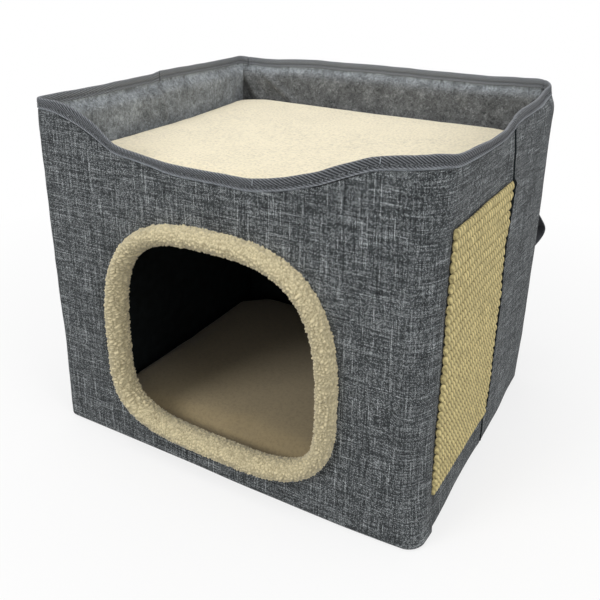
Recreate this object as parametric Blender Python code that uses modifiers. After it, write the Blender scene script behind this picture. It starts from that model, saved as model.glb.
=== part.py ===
"""A folding cat house: a fabric cube on boards, with a door, a cushioned tray on top and a sisal pad.

Frame: metres, +Z up, origin on the floor under the middle of the base. The door faces -Y and the
sisal pad is on the +X side. Walls are drawn as a straight box and then leaned in towards the rim.
"""

import math

import bmesh
import bpy
from mathutils import Matrix, Vector

# Overall size at the floor, and how far each wall leans in at the rim.
WIDTH = 0.420
DEPTH = 0.350
HEIGHT = 0.360
SIDE_LEAN = 0.0112
END_LEAN = 0.0044
CORNER_RADIUS = 0.012
CORNER_STEPS = 4

# Wall build-up from outside to inside, and the gap left between pieces that touch.
GAP = 0.0003
FABRIC = 0.0012
WALL_BOARD = 0.0045
FELT = 0.0015
CABIN_FABRIC = 0.0008
BOTTOM_FABRIC = 0.0012
FLOOR_BOARD = 0.0040
FLOOR_BOARD_PLAY = 0.0020

# Fold line half way along each side wall.
FOLD_Y = 0.004
FOLD_BOARD_GAP = 0.0060
FOLD_DEPTH = 0.0022

# Dip of the front rim. Each sweep is measured from the side of the house.
DIP_DEPTH = 0.0406
LEFT_SWEEP_START = 0.028
LEFT_SWEEP_WIDTH = 0.084
LEFT_SWEEP_SHARE = 0.80
LEFT_SETTLE_START = 0.092
LEFT_SETTLE_WIDTH = 0.090
RIGHT_SWEEP_START = 0.015
RIGHT_SWEEP_WIDTH = 0.170
RIM_STEP = 0.014
RIM_END_ROOM = 0.003

# Tape folded over the rim.
TAPE = 0.0008
TAPE_DROP = 0.0115
TAPE_ROUND = 0.0016

# Door: centre line of the stuffed roll, and the roll's section.
DOOR_X = -0.004
DOOR_HALF_WIDTH = 0.1223
DOOR_WIDEST_Z = 0.117
DOOR_FALL = 0.080
DOOR_RISE = 0.140
DOOR_TOP_POWER = 3.0
DOOR_BOTTOM_POWER = 3.4
DOOR_STEPS = 48
ROLL_HALF_WIDTH = 0.0095
ROLL_HALF_DEPTH = 0.0140
ROLL_PROUD = 0.0030
ROLL_SIDES = 12
DOOR_CUT_OUTSIDE = 0.0010

# Tray: the platform board rests on two upright boards that stand inside the side walls.
PLATFORM_BOTTOM = 0.272
PLATFORM_BOARD = 0.0045
PLATFORM_FABRIC = 0.0012
TRAY_PLAY = 0.0014
SUPPORT_BOARD = 0.0040
SUPPORT_INSET = 0.0005
SUPPORT_END_PLAY = 0.0015
FELT_OVERLAP = 0.0040

# Soft pieces: side height, crown above it and how far the long sides are drawn in.
CUSHION_SIDE = 0.0240
CUSHION_CROWN = 0.0080
MAT_SIDE_PLAY = 0.0030
MAT_END_PLAY = 0.0062
MAT_SIDE = 0.0260
MAT_CROWN = 0.0060
DRAWN_IN = 0.0015
PAD_CUTS = 5
EDGE_CROWDING = 2.2
SMOOTH_ANGLE = 35

# Sisal pad on the front half of the right wall. It reaches a little past the fold.
SISAL_FRONT_INSET = 0.032
SISAL_PAST_FOLD = 0.004
SISAL_BOTTOM = 0.042
SISAL_HEIGHT = 0.252
SISAL_BACKING = 0.0010
SISAL_CORE = 0.0012
RIB_PITCH = 0.0090
RIB_HEIGHT = 0.0018
RIB_FULLNESS = 0.6
RIB_STEPS = 5
STRIP_THICKNESS = 0.0004
STRIP_WIDTH = 0.020
STRIP_INSET = 0.016

# Carrying strap on the back wall, near its right edge.
STRAP_WIDTH = 0.025
STRAP_THICKNESS = 0.0020
STRAP_EDGE_INSET = 0.0150
STRAP_Z = 0.198
STRAP_HALF_SPAN = 0.050
STRAP_REACH = 0.050
STRAP_STEPS = 28
STRAP_BEND_POWER = 1.5
STRAP_TIP = 0.0030
TAB_HEIGHT = 0.024
TAB_THICKNESS = 0.0015

HALF_W = WIDTH / 2
HALF_D = DEPTH / 2
WALL = FABRIC + GAP + WALL_BOARD + GAP + FELT
BOARD_OUT = FABRIC + GAP
BOARD_IN = BOARD_OUT + WALL_BOARD
LINING_OUT = BOARD_IN + GAP
WALL_FOOT = BOTTOM_FABRIC + GAP
RIM_CLEAR = TAPE + GAP
FELT_BOTTOM = PLATFORM_BOTTOM - FELT_OVERLAP
FLOOR_TOP = WALL_FOOT + FLOOR_BOARD
PLATFORM_TOP = PLATFORM_BOTTOM + PLATFORM_BOARD + GAP + PLATFORM_FABRIC
CUSHION_REST = PLATFORM_TOP + GAP
SISAL_TOP = SISAL_BOTTOM + SISAL_HEIGHT
SISAL_FRONT = SISAL_FRONT_INSET - HALF_D
SISAL_REAR = FOLD_Y + SISAL_PAST_FOLD

LINEN = ("#5f6467", 0.92)
FELT_GREY = ("#6e6e6c", 0.97)
BLACK_FABRIC = ("#16171a", 0.95)
TAPE_GREY = ("#626468", 0.85)
FLEECE = ("#e8dcbe", 1.0)
SHERPA = ("#c8b991", 1.0)
MAT_SUEDE = ("#d2c4a2", 0.95)
SISAL = ("#c8b67d", 0.95)
HARDBOARD = ("#8a6a47", 0.80)
GREY_CARD = ("#77736b", 0.85)
HOOK_TAPE = ("#1d1e20", 0.80)
WEBBING = ("#4b4d52", 0.80)

for old in list(bpy.data.objects):
    bpy.data.objects.remove(old, do_unlink=True)

PARTS = bpy.data.collections.new("cat_house")
CUTTERS = bpy.data.collections.new("cutters")
for group in (PARTS, CUTTERS):
    bpy.context.scene.collection.children.link(group)


def linear(value):
    return value / 12.92 if value <= 0.04045 else ((value + 0.055) / 1.055) ** 2.4


def finish_material(name, finish):
    """A Principled material in the finish's colour."""
    colour, roughness = finish
    material = bpy.data.materials.new(name + "_finish")
    material.use_nodes = True
    shader = material.node_tree.nodes["Principled BSDF"]
    rgb = [linear(int(colour[i : i + 2], 16) / 255) for i in (1, 3, 5)]
    shader.inputs["Base Color"].default_value = (*rgb, 1.0)
    shader.inputs["Roughness"].default_value = roughness
    shader.inputs["Metallic"].default_value = 0.0
    return material


def leaned(point):
    """Where a point of the straight box goes once the walls lean in."""
    rise = point.z / HEIGHT
    return Vector(
        (
            point.x * (1 - SIDE_LEAN / HALF_W * rise),
            point.y * (1 - END_LEAN / HALF_D * rise),
            point.z,
        )
    )


# The platform and the cushion are as large as the binding at the rim lets through.
TRAY_MOUTH = leaned(Vector((HALF_W - WALL - RIM_CLEAR, HALF_D - WALL - RIM_CLEAR, HEIGHT)))
PLATFORM_HALF_WIDTH = TRAY_MOUTH.x - TRAY_PLAY
PLATFORM_HALF_DEPTH = TRAY_MOUTH.y - TRAY_PLAY
SUPPORT_OUT = PLATFORM_HALF_WIDTH - SUPPORT_INSET


def face_outwards(bm):
    """Turn every face of a closed mesh outwards."""
    bmesh.ops.recalc_face_normals(bm, faces=bm.faces)
    if bm.calc_volume(signed=True) < 0:
        bmesh.ops.reverse_faces(bm, faces=bm.faces)


def add_part(name, bm, finish, lean=True, pivot=(0, 0, 0), parent=None, smooth=False):
    """One named sub-part from a bmesh in world coordinates, with its origin at the pivot."""
    pivot = Vector(pivot)
    for vert in bm.verts:
        place = leaned(vert.co) if lean else vert.co
        vert.co = place - pivot
    face_outwards(bm)
    mesh = bpy.data.meshes.new(name)
    bm.to_mesh(mesh)
    bm.free()
    if smooth:
        mesh.shade_smooth()
        mesh.set_sharp_from_angle(angle=math.radians(SMOOTH_ANGLE))
    part = bpy.data.objects.new(name, mesh)
    PARTS.objects.link(part)
    mesh.materials.append(finish_material(name, finish))
    part.location = pivot
    if parent is not None:
        part.parent = parent
        part.location = pivot - parent.location
    return part


def add_carrier(name, place):
    """An empty that a moving group hangs on."""
    carrier = bpy.data.objects.new(name, None)
    carrier.empty_display_size = 0.02
    carrier.location = place
    PARTS.objects.link(carrier)
    return carrier


def box(low, high):
    bm = bmesh.new()
    low, high = Vector(low), Vector(high)
    size = high - low
    matrix = Matrix.Translation((low + high) / 2) @ Matrix.Diagonal((*size, 1.0))
    bmesh.ops.create_cube(bm, size=1.0, matrix=matrix)
    return bm


def filled(outlines, thickness):
    """A flat plate in the XY plane, centred on Z, whose inner outlines are holes."""
    curve = bpy.data.curves.new("outline", "CURVE")
    curve.dimensions = "2D"
    curve.fill_mode = "BOTH"
    curve.extrude = thickness / 2
    for outline in outlines:
        spline = curve.splines.new("POLY")
        spline.points.add(len(outline) - 1)
        for point, (a, b) in zip(spline.points, outline):
            point.co = (a, b, 0, 1)
        spline.use_cyclic_u = True
    holder = bpy.data.objects.new("outline", curve)
    bpy.context.scene.collection.objects.link(holder)
    bpy.context.view_layer.update()
    depsgraph = bpy.context.evaluated_depsgraph_get()
    mesh = bpy.data.meshes.new_from_object(holder.evaluated_get(depsgraph))
    bm = bmesh.new()
    bm.from_mesh(mesh)
    bmesh.ops.remove_doubles(bm, verts=bm.verts, dist=0.00001)
    bpy.data.objects.remove(holder, do_unlink=True)
    bpy.data.meshes.remove(mesh)
    return bm


def upright_plate(outlines, low_y, high_y):
    """A plate drawn by outlines in X and Z that fills low_y to high_y."""
    bm = filled(outlines, high_y - low_y)
    for vert in bm.verts:
        x, z, depth = vert.co
        vert.co = (x, (low_y + high_y) / 2 + depth, z)
    return bm


def loft(sections, closed_loop=False):
    """A skin through sections with the same number of points, capped unless it is a loop."""
    bm = bmesh.new()
    rings = [[bm.verts.new(point) for point in section] for section in sections]
    count = len(rings[0])
    pairs = list(zip(rings, rings[1:]))
    if closed_loop:
        pairs.append((rings[-1], rings[0]))
    for first, second in pairs:
        for i in range(count):
            j = (i + 1) % count
            bm.faces.new((first[i], first[j], second[j], second[i]))
    if not closed_loop:
        bm.faces.new(reversed(rings[0]))
        bm.faces.new(rings[-1])
    return bm


def add_cutter(name, bm):
    """A cutting shape, leaned like the walls and left out of the render."""
    for vert in bm.verts:
        vert.co = leaned(vert.co)
    face_outwards(bm)
    mesh = bpy.data.meshes.new(name)
    bm.to_mesh(mesh)
    bm.free()
    cutter = bpy.data.objects.new(name, mesh)
    cutter.hide_render = True
    cutter.display_type = "WIRE"
    CUTTERS.objects.link(cutter)
    return cutter


def cut(part, cutter):
    modifier = part.modifiers.new("cut", "BOOLEAN")
    modifier.operation = "DIFFERENCE"
    modifier.object = cutter
    return modifier


def smooth_step(value):
    value = min(1.0, max(0.0, value))
    return value * value * (3 - 2 * value)


def rim_height(x):
    """Height of the front rim at x: level at the corners and dipped in the middle."""
    if x < 0:
        inset = HALF_W + x
        fall = LEFT_SWEEP_SHARE * smooth_step((inset - LEFT_SWEEP_START) / LEFT_SWEEP_WIDTH)
        fall += (1 - LEFT_SWEEP_SHARE) * smooth_step((inset - LEFT_SETTLE_START) / LEFT_SETTLE_WIDTH)
    else:
        inset = HALF_W - x
        fall = smooth_step((inset - RIGHT_SWEEP_START) / RIGHT_SWEEP_WIDTH)
    return HEIGHT - DIP_DEPTH * fall


def front_stations(half):
    """Places along the front from -half to half, on a grid that every front piece shares."""
    inner = int((half - RIM_END_ROOM) / RIM_STEP)
    places = [i * RIM_STEP for i in range(-inner, inner + 1)]
    return [-half, *places, half]


def door_loop(outside, steps=DOOR_STEPS):
    """The door's outline in X and Z, moved outwards from the roll's centre line."""
    points = []
    for i in range(steps):
        angle = 2 * math.pi * (i + 0.5) / steps
        cos, sin = math.cos(angle), math.sin(angle)
        top = sin > 0
        power = DOOR_TOP_POWER if top else DOOR_BOTTOM_POWER
        reach = DOOR_RISE if top else DOOR_FALL
        x = DOOR_HALF_WIDTH * math.copysign(abs(cos) ** (2 / power), cos)
        z = reach * math.copysign(abs(sin) ** (2 / power), sin)
        slope_x = math.copysign(abs(x / DOOR_HALF_WIDTH) ** (power - 1), x) / DOOR_HALF_WIDTH
        slope_z = math.copysign(abs(z / reach) ** (power - 1), z) / reach
        normal = Vector((slope_x, slope_z)).normalized()
        points.append((DOOR_X + x + outside * normal.x, DOOR_WIDEST_Z + z + outside * normal.y))
    return points


def quarter_turn(start):
    """Outward directions in plan round a corner, counter-clockwise from the start angle in degrees."""
    angles = [math.radians(start + 90 * i / CORNER_STEPS) for i in range(CORNER_STEPS + 1)]
    return [(math.cos(angle), math.sin(angle)) for angle in angles]


def corner_arc(centre_x, centre_y, start):
    """Plan points of a rounded corner of the house."""
    return [(centre_x + CORNER_RADIUS * x, centre_y + CORNER_RADIUS * y) for x, y in quarter_turn(start)]


STRAIGHT_X = HALF_W - CORNER_RADIUS
STRAIGHT_Y = HALF_D - CORNER_RADIUS
SIDE_SEAM = STRAIGHT_Y - GAP


def curtain(name, path, finish):
    """An upright fabric skin along a plan path of (x, y, top), with its thickness inwards."""
    bm = bmesh.new()
    columns = [
        (bm.verts.new((x, y, WALL_FOOT)), bm.verts.new((x, y, top - RIM_CLEAR)))
        for x, y, top in path
    ]
    for left, right in zip(columns, columns[1:]):
        bm.faces.new((left[0], right[0], right[1], left[1]))
    for vert in bm.verts:
        vert.co = leaned(vert.co)
    mesh = bpy.data.meshes.new(name)
    bm.to_mesh(mesh)
    bm.free()
    part = bpy.data.objects.new(name, mesh)
    PARTS.objects.link(part)
    mesh.materials.append(finish_material(name, finish))
    shell = part.modifiers.new("thickness", "SOLIDIFY")
    shell.thickness = FABRIC
    shell.offset = -1
    shell.use_even_offset = True
    return part


def front_plan():
    """The front cover's plan: a corner, the front and the other corner."""
    left = corner_arc(-STRAIGHT_X, -STRAIGHT_Y, 180)
    right = corner_arc(STRAIGHT_X, -STRAIGHT_Y, 270)
    front = [(x, -HALF_D) for x in front_stations(STRAIGHT_X)]
    return left[:-1] + front + right[1:]


def add_outer_covers():
    """The outer skin: a front and a back with the corners, two sides and the bottom."""
    front = curtain("front_cover", [(x, y, rim_height(x)) for x, y in front_plan()], LINEN)
    cut(front, add_cutter("front_cover_door", door_prism(-WALL, WALL)))

    back = corner_arc(STRAIGHT_X, STRAIGHT_Y, 0) + corner_arc(-STRAIGHT_X, STRAIGHT_Y, 90)
    curtain("back_cover", [(x, y, HEIGHT) for x, y in back], LINEN)

    for name, side in (("right_cover", 1), ("left_cover", -1)):
        plan = [
            (HALF_W, -SIDE_SEAM),
            (HALF_W, FOLD_Y - FOLD_DEPTH),
            (HALF_W - FOLD_DEPTH, FOLD_Y),
            (HALF_W, FOLD_Y + FOLD_DEPTH),
            (HALF_W, SIDE_SEAM),
        ]
        path = [(side * x, y, HEIGHT) for x, y in plan]
        curtain(name, path if side > 0 else path[::-1], LINEN)

    outline = []
    for x, y, start in ((1, -1, 270), (1, 1, 0), (-1, 1, 90), (-1, -1, 180)):
        outline += corner_arc(x * STRAIGHT_X, y * STRAIGHT_Y, start)
    bottom = filled([outline], BOTTOM_FABRIC)
    bmesh.ops.translate(bottom, verts=bottom.verts, vec=(0, 0, BOTTOM_FABRIC / 2))
    add_part("bottom_cover", bottom, LINEN, lean=False)


def door_prism(low, high, outside=DOOR_CUT_OUTSIDE):
    """A solid in the door's shape, from low to high behind the front face."""
    return upright_plate([door_loop(outside)], -HALF_D + low, -HALF_D + high)


def front_outline(half, foot, head=None):
    """A front panel's outline: level foot, and a top that follows the rim or is level."""
    top = [(x, rim_height(x) - RIM_CLEAR if head is None else head) for x in front_stations(half)]
    return [(half, foot), *top[::-1], (-half, foot)]


def add_wall_boards():
    """Stiff boards inside the walls, with each side wall in two halves that can fold."""
    front = upright_plate(
        [front_outline(STRAIGHT_X, WALL_FOOT), door_loop(DOOR_CUT_OUTSIDE)],
        -HALF_D + BOARD_OUT,
        -HALF_D + BOARD_IN,
    )
    add_part("front_board", front, HARDBOARD)
    top = HEIGHT - RIM_CLEAR
    back = box((-STRAIGHT_X, HALF_D - BOARD_IN, WALL_FOOT), (STRAIGHT_X, HALF_D - BOARD_OUT, top))
    add_part("back_board", back, HARDBOARD)
    halves = (
        ("front", -STRAIGHT_Y, FOLD_Y - FOLD_BOARD_GAP / 2),
        ("rear", FOLD_Y + FOLD_BOARD_GAP / 2, STRAIGHT_Y),
    )
    for side_name, side in (("left", -1), ("right", 1)):
        for half_name, low_y, high_y in halves:
            xs = sorted((side * (HALF_W - BOARD_IN), side * (HALF_W - BOARD_OUT)))
            board = box((xs[0], low_y, WALL_FOOT), (xs[1], high_y, top))
            add_part(f"{side_name}_{half_name}_board", board, HARDBOARD)


def add_linings():
    """Grey felt round the tray, and thin black fabric in the cabin below it."""
    top = HEIGHT - RIM_CLEAR
    inner_x = HALF_W - WALL
    inner_y = HALF_D - WALL
    front_y = -HALF_D + LINING_OUT
    felt = upright_plate([front_outline(inner_x, FELT_BOTTOM)], front_y, front_y + FELT)
    add_part("front_felt", felt, FELT_GREY)
    cabin = upright_plate(
        [front_outline(inner_x, WALL_FOOT, FELT_BOTTOM - GAP), door_loop(DOOR_CUT_OUTSIDE)],
        front_y,
        front_y + CABIN_FABRIC,
    )
    add_part("front_cabin_lining", cabin, BLACK_FABRIC)

    back_y = HALF_D - LINING_OUT
    bands = (
        ("felt", FELT, FELT_BOTTOM, top, FELT_GREY),
        ("cabin_lining", CABIN_FABRIC, WALL_FOOT, FELT_BOTTOM - GAP, BLACK_FABRIC),
    )
    for kind, thickness, foot, head, finish in bands:
        back = box((-inner_x, back_y - thickness, foot), (inner_x, back_y, head))
        add_part(f"back_{kind}", back, finish)
        for side_name, side in (("left", -1), ("right", 1)):
            outer_x = HALF_W - LINING_OUT
            xs = sorted((side * (outer_x - thickness), side * outer_x))
            ends = inner_y - GAP
            panel = box((xs[0], -ends, foot), (xs[1], ends, head))
            add_part(f"{side_name}_{kind}", panel, finish)


def add_floor_and_supports():
    """The loose floor board, and the two upright boards that carry the platform."""
    half_x = HALF_W - WALL - FLOOR_BOARD_PLAY
    half_y = HALF_D - WALL - FLOOR_BOARD_PLAY
    floor = box((-half_x, -half_y, WALL_FOOT), (half_x, half_y, FLOOR_TOP))
    add_part("floor_board", floor, GREY_CARD, lean=False)
    end = PLATFORM_HALF_DEPTH - SUPPORT_END_PLAY
    for side_name, side in (("left", -1), ("right", 1)):
        xs = sorted((side * (SUPPORT_OUT - SUPPORT_BOARD), side * SUPPORT_OUT))
        board = box((xs[0], -end, FLOOR_TOP + GAP), (xs[1], end, PLATFORM_BOTTOM - GAP))
        add_part(f"{side_name}_support_board", board, BLACK_FABRIC, lean=False)


def rim_section(x, y, out, height):
    """The folded tape's section at one place on the rim, with out as the outward direction."""
    outer = GAP + TAPE
    inner = -(WALL + GAP + TAPE)
    profile = (
        (outer, -TAPE_DROP),
        (outer, -TAPE_ROUND),
        (outer - TAPE_ROUND, 0),
        (inner + TAPE_ROUND, 0),
        (inner, -TAPE_ROUND),
        (inner, -TAPE_DROP),
        (inner + TAPE, -TAPE_DROP),
        (inner + TAPE, -TAPE),
        (outer - TAPE, -TAPE),
        (outer - TAPE, -TAPE_DROP),
    )
    return [Vector((x + out[0] * offset, y + out[1] * offset, height + rise)) for offset, rise in profile]


def add_rim_binding():
    """One tape folded over the rim, all the way round."""
    sections = [rim_section(x, -HALF_D, (0, -1), rim_height(x)) for x in front_stations(STRAIGHT_X)]
    corners = (
        (1, -1, quarter_turn(270)[1:]),
        (1, 1, quarter_turn(0)),
        (-1, 1, quarter_turn(90)),
        (-1, -1, quarter_turn(180)[:-1]),
    )
    for sign_x, sign_y, directions in corners:
        for out in directions:
            x = sign_x * STRAIGHT_X + CORNER_RADIUS * out[0]
            y = sign_y * STRAIGHT_Y + CORNER_RADIUS * out[1]
            sections.append(rim_section(x, y, out, rim_height(x) if sign_y < 0 else HEIGHT))
    add_part("rim_binding", loft(sections, closed_loop=True), TAPE_GREY)


def add_door_roll():
    """A stuffed sherpa roll round the door, grooved where it takes the edge of the wall."""
    centre_y = -HALF_D - ROLL_PROUD
    inner = door_loop(0)
    outer = door_loop(ROLL_HALF_WIDTH)
    sections = []
    for (x, z), (out_x, out_z) in zip(inner, outer):
        ring = []
        for i in range(ROLL_SIDES):
            angle = 2 * math.pi * i / ROLL_SIDES
            across, along = math.cos(angle), math.sin(angle)
            ring.append(
                Vector(
                    (
                        x + (out_x - x) * across,
                        centre_y + ROLL_HALF_DEPTH * along,
                        z + (out_z - z) * across,
                    )
                )
            )
        sections.append(ring)
    roll = add_part("door_roll", loft(sections, closed_loop=True), SHERPA, smooth=True)
    reach = 2 * ROLL_HALF_WIDTH
    frame = [
        (DOOR_X - DOOR_HALF_WIDTH - reach, DOOR_WIDEST_Z - DOOR_FALL - reach),
        (DOOR_X + DOOR_HALF_WIDTH + reach, DOOR_WIDEST_Z - DOOR_FALL - reach),
        (DOOR_X + DOOR_HALF_WIDTH + reach, DOOR_WIDEST_Z + DOOR_RISE + reach),
        (DOOR_X - DOOR_HALF_WIDTH - reach, DOOR_WIDEST_Z + DOOR_RISE + reach),
    ]
    groove = upright_plate([frame, door_loop(DOOR_CUT_OUTSIDE - GAP)], -HALF_D - GAP, -HALF_D + WALL + GAP)
    cut(roll, add_cutter("roll_groove", groove))


def soft_pad(half_x, half_y, bottom, side, crown):
    """A crowned pad on a flat base, with its long sides drawn in between the corners."""
    bm = bmesh.new()
    bmesh.ops.create_cube(bm, size=2.0)
    bmesh.ops.subdivide_edges(bm, edges=bm.edges, cuts=PAD_CUTS, use_grid_fill=True)
    for vert in bm.verts:
        u, v = (math.copysign(1 - (1 - abs(c)) ** EDGE_CROWDING, c) for c in vert.co[:2])
        rise = (vert.co.z + 1) / 2
        x = u * (half_x - DRAWN_IN * (1 - v * v))
        y = v * (half_y - DRAWN_IN * (1 - u * u))
        z = bottom + rise * (side + crown * (1 - u**4) * (1 - v**4))
        vert.co = (x, y, z)
    return bm


def add_soft_pad(name, bm, finish, pivot, parent=None):
    pad = add_part(name, bm, finish, lean=False, pivot=pivot, parent=parent, smooth=True)
    rounding = pad.modifiers.new("soft", "SUBSURF")
    rounding.levels = 1
    rounding.render_levels = 1
    return pad


def add_tray():
    """The platform with its fabric cover, and the cushion that lies on it."""
    carrier = add_carrier("platform_lift", (0, 0, PLATFORM_BOTTOM))
    inset = PLATFORM_FABRIC + GAP
    half_x, half_y = PLATFORM_HALF_WIDTH, PLATFORM_HALF_DEPTH
    board = box(
        (inset - half_x, inset - half_y, PLATFORM_BOTTOM),
        (half_x - inset, half_y - inset, PLATFORM_BOTTOM + PLATFORM_BOARD),
    )
    add_part("platform_board", board, HARDBOARD, lean=False, pivot=(0, 0, PLATFORM_BOTTOM), parent=carrier)

    skin = box((-half_x, -half_y, PLATFORM_BOTTOM), (half_x, half_y, PLATFORM_TOP))
    skin.faces.ensure_lookup_table()
    under = [face for face in skin.faces if face.normal.z < -0.5]
    bmesh.ops.delete(skin, geom=under, context="FACES_ONLY")
    cover = add_part(
        "platform_cover", skin, FELT_GREY, lean=False, pivot=(0, 0, PLATFORM_BOTTOM), parent=carrier
    )
    shell = cover.modifiers.new("thickness", "SOLIDIFY")
    shell.thickness = PLATFORM_FABRIC
    shell.offset = -1
    shell.use_even_offset = True

    cushion = soft_pad(half_x, half_y, CUSHION_REST, CUSHION_SIDE, CUSHION_CROWN)
    lift = add_carrier("cushion_lift", (0, 0, CUSHION_REST))
    add_soft_pad("top_cushion", cushion, FLEECE, (0, 0, CUSHION_REST), lift)


def add_mat():
    """The mat on the cabin floor, between the two support boards."""
    rest = FLOOR_TOP + GAP
    half_x = SUPPORT_OUT - SUPPORT_BOARD - MAT_SIDE_PLAY
    mat = soft_pad(half_x, PLATFORM_HALF_DEPTH - MAT_END_PLAY, rest, MAT_SIDE, MAT_CROWN)
    add_soft_pad("floor_mat", mat, MAT_SUEDE, (0, 0, rest))


def add_scratch_pad():
    """Sisal on a thin backing, held to the wall by hook and loop strips."""
    loop_out = HALF_W + GAP
    hook_out = loop_out + STRIP_THICKNESS + GAP
    backing_out = hook_out + STRIP_THICKNESS + GAP
    sisal_out = backing_out + SISAL_BACKING + GAP
    pivot = leaned(Vector((HALF_W, (SISAL_FRONT + SISAL_REAR) / 2, SISAL_BOTTOM + SISAL_HEIGHT / 2)))
    carrier = add_carrier("scratch_pad_pull", pivot)

    feet = (SISAL_BOTTOM + STRIP_INSET, SISAL_TOP - STRIP_INSET - STRIP_WIDTH)
    for place, foot in zip(("lower", "upper"), feet):
        strips = (("loop", loop_out, None), ("hook", hook_out, carrier))
        for kind, out, parent in strips:
            strip = box(
                (out, SISAL_FRONT + STRIP_INSET, foot),
                (out + STRIP_THICKNESS, SISAL_REAR - STRIP_INSET, foot + STRIP_WIDTH),
            )
            origin = pivot if parent else (0, 0, 0)
            add_part(f"{place}_{kind}_strip", strip, HOOK_TAPE, pivot=origin, parent=parent)

    backing = box(
        (backing_out, SISAL_FRONT, SISAL_BOTTOM), (backing_out + SISAL_BACKING, SISAL_REAR, SISAL_TOP)
    )
    add_part("sisal_backing", backing, GREY_CARD, pivot=pivot, parent=carrier)

    ribs = max(1, round(SISAL_HEIGHT / RIB_PITCH))
    pitch = SISAL_HEIGHT / ribs
    face = [(sisal_out, SISAL_TOP), (sisal_out, SISAL_BOTTOM)]
    for rib in range(ribs):
        for step in range(RIB_STEPS + (rib == ribs - 1)):
            share = step / RIB_STEPS
            bulge = RIB_HEIGHT * math.sin(math.pi * share) ** RIB_FULLNESS if share else 0.0
            face.append((sisal_out + SISAL_CORE + bulge, SISAL_BOTTOM + (rib + share) * pitch))
    ends = [[Vector((x, y, z)) for x, z in face] for y in (SISAL_FRONT, SISAL_REAR)]
    add_part("sisal_mat", loft(ends), SISAL, pivot=pivot, parent=carrier)


def back_face_y(z):
    """How far back the outer face of the back wall is at a height."""
    return leaned(Vector((0, HALF_D, z))).y


def add_carry_strap():
    """A webbing loop that swings about an upright line, and the two sewn tabs that hold it."""
    radius = STRAP_WIDTH / 2
    strap_x = leaned(Vector((HALF_W, HALF_D, STRAP_Z))).x - STRAP_EDGE_INSET - radius
    foot_y = back_face_y(STRAP_Z - STRAP_HALF_SPAN) + GAP
    hinge_y = foot_y + radius

    path = []
    for i in range(STRAP_STEPS + 1):
        across = math.cos(math.pi * i / STRAP_STEPS)
        reach = (1 - abs(across) ** STRAP_BEND_POWER) * STRAP_REACH
        path.append(Vector((strap_x, foot_y + reach, STRAP_Z + STRAP_HALF_SPAN * across)))
    rings = []
    for i, point in enumerate(path):
        along = (path[min(STRAP_STEPS, i + 1)] - path[max(0, i - 1)]).normalized()
        outer = point + Vector((0, -along.z, along.y)) * STRAP_THICKNESS
        inboard = max(hinge_y - point.y, 0.0)
        half = max(math.sqrt(radius**2 - inboard**2), STRAP_TIP / 2)
        side = Vector((half, 0, 0))
        rings.append([point - side, point + side, outer + side, outer - side])
    pivot = (strap_x, hinge_y, STRAP_Z)
    add_part("carry_strap", loft(rings), WEBBING, lean=False, pivot=pivot)

    clear = STRAP_HALF_SPAN + STRAP_THICKNESS + GAP
    for name, foot in (
        ("upper_strap_tab", STRAP_Z + clear),
        ("lower_strap_tab", STRAP_Z - clear - TAB_HEIGHT),
    ):
        tab = box((strap_x - radius, 0, foot), (strap_x + radius, TAB_THICKNESS, foot + TAB_HEIGHT))
        for vert in tab.verts:
            vert.co.y += back_face_y(vert.co.z) + GAP
        add_part(name, tab, WEBBING, lean=False)


add_outer_covers()
add_wall_boards()
add_linings()
add_floor_and_supports()
add_rim_binding()
add_door_roll()
add_tray()
add_mat()
add_scratch_pad()
add_carry_strap()
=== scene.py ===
"""The looks of a folding cat house: linen-look covers, felt tray, fleece, sherpa, twill tape and sisal."""

import math

import bmesh
import bpy
import numpy as np
from bpy.props import FloatProperty, FloatVectorProperty, IntProperty, PointerProperty
from bpy.types import Operator, Panel, PropertyGroup
from mathutils import Matrix, Vector


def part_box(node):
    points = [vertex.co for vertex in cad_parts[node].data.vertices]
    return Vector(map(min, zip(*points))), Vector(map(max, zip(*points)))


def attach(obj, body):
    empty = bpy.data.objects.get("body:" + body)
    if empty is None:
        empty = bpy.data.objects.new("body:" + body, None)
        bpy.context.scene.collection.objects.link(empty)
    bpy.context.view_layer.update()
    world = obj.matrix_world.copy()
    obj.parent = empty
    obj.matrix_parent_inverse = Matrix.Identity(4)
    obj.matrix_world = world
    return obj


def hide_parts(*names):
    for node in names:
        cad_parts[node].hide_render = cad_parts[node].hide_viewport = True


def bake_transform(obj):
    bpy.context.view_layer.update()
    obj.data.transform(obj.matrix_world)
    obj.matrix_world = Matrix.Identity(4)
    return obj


bl_info = {
    "name": "Folding cat house",
    "version": (1, 0, 0),
    "blender": (4, 5, 0),
    "location": "View3D > Sidebar > Cat house",
    "description": "Builds the covers, linings, cushions and trims of a folding fabric cat house",
    "category": "Object",
}

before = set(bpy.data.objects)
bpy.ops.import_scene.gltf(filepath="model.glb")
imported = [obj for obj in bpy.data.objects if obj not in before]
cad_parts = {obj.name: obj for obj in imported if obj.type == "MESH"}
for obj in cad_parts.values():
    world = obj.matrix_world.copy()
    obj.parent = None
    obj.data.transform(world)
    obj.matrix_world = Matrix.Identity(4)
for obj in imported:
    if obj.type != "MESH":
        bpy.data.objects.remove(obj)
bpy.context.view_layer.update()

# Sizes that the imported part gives.
HALF_W, HALF_D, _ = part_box("bottom_cover")[1]
WIDTH, DEPTH = 2 * HALF_W, 2 * HALF_D
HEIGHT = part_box("rim_binding")[1].z
PERIMETER = 2 * (WIDTH + DEPTH)
ROLL_LOW, ROLL_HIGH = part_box("door_roll")
CUSHION_LOW, CUSHION_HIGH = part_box("top_cushion")
MAT_LOW, MAT_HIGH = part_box("floor_mat")
FELT_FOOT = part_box("back_felt")[0].z
LINING_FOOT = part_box("back_cabin_lining")[0].z

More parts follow.
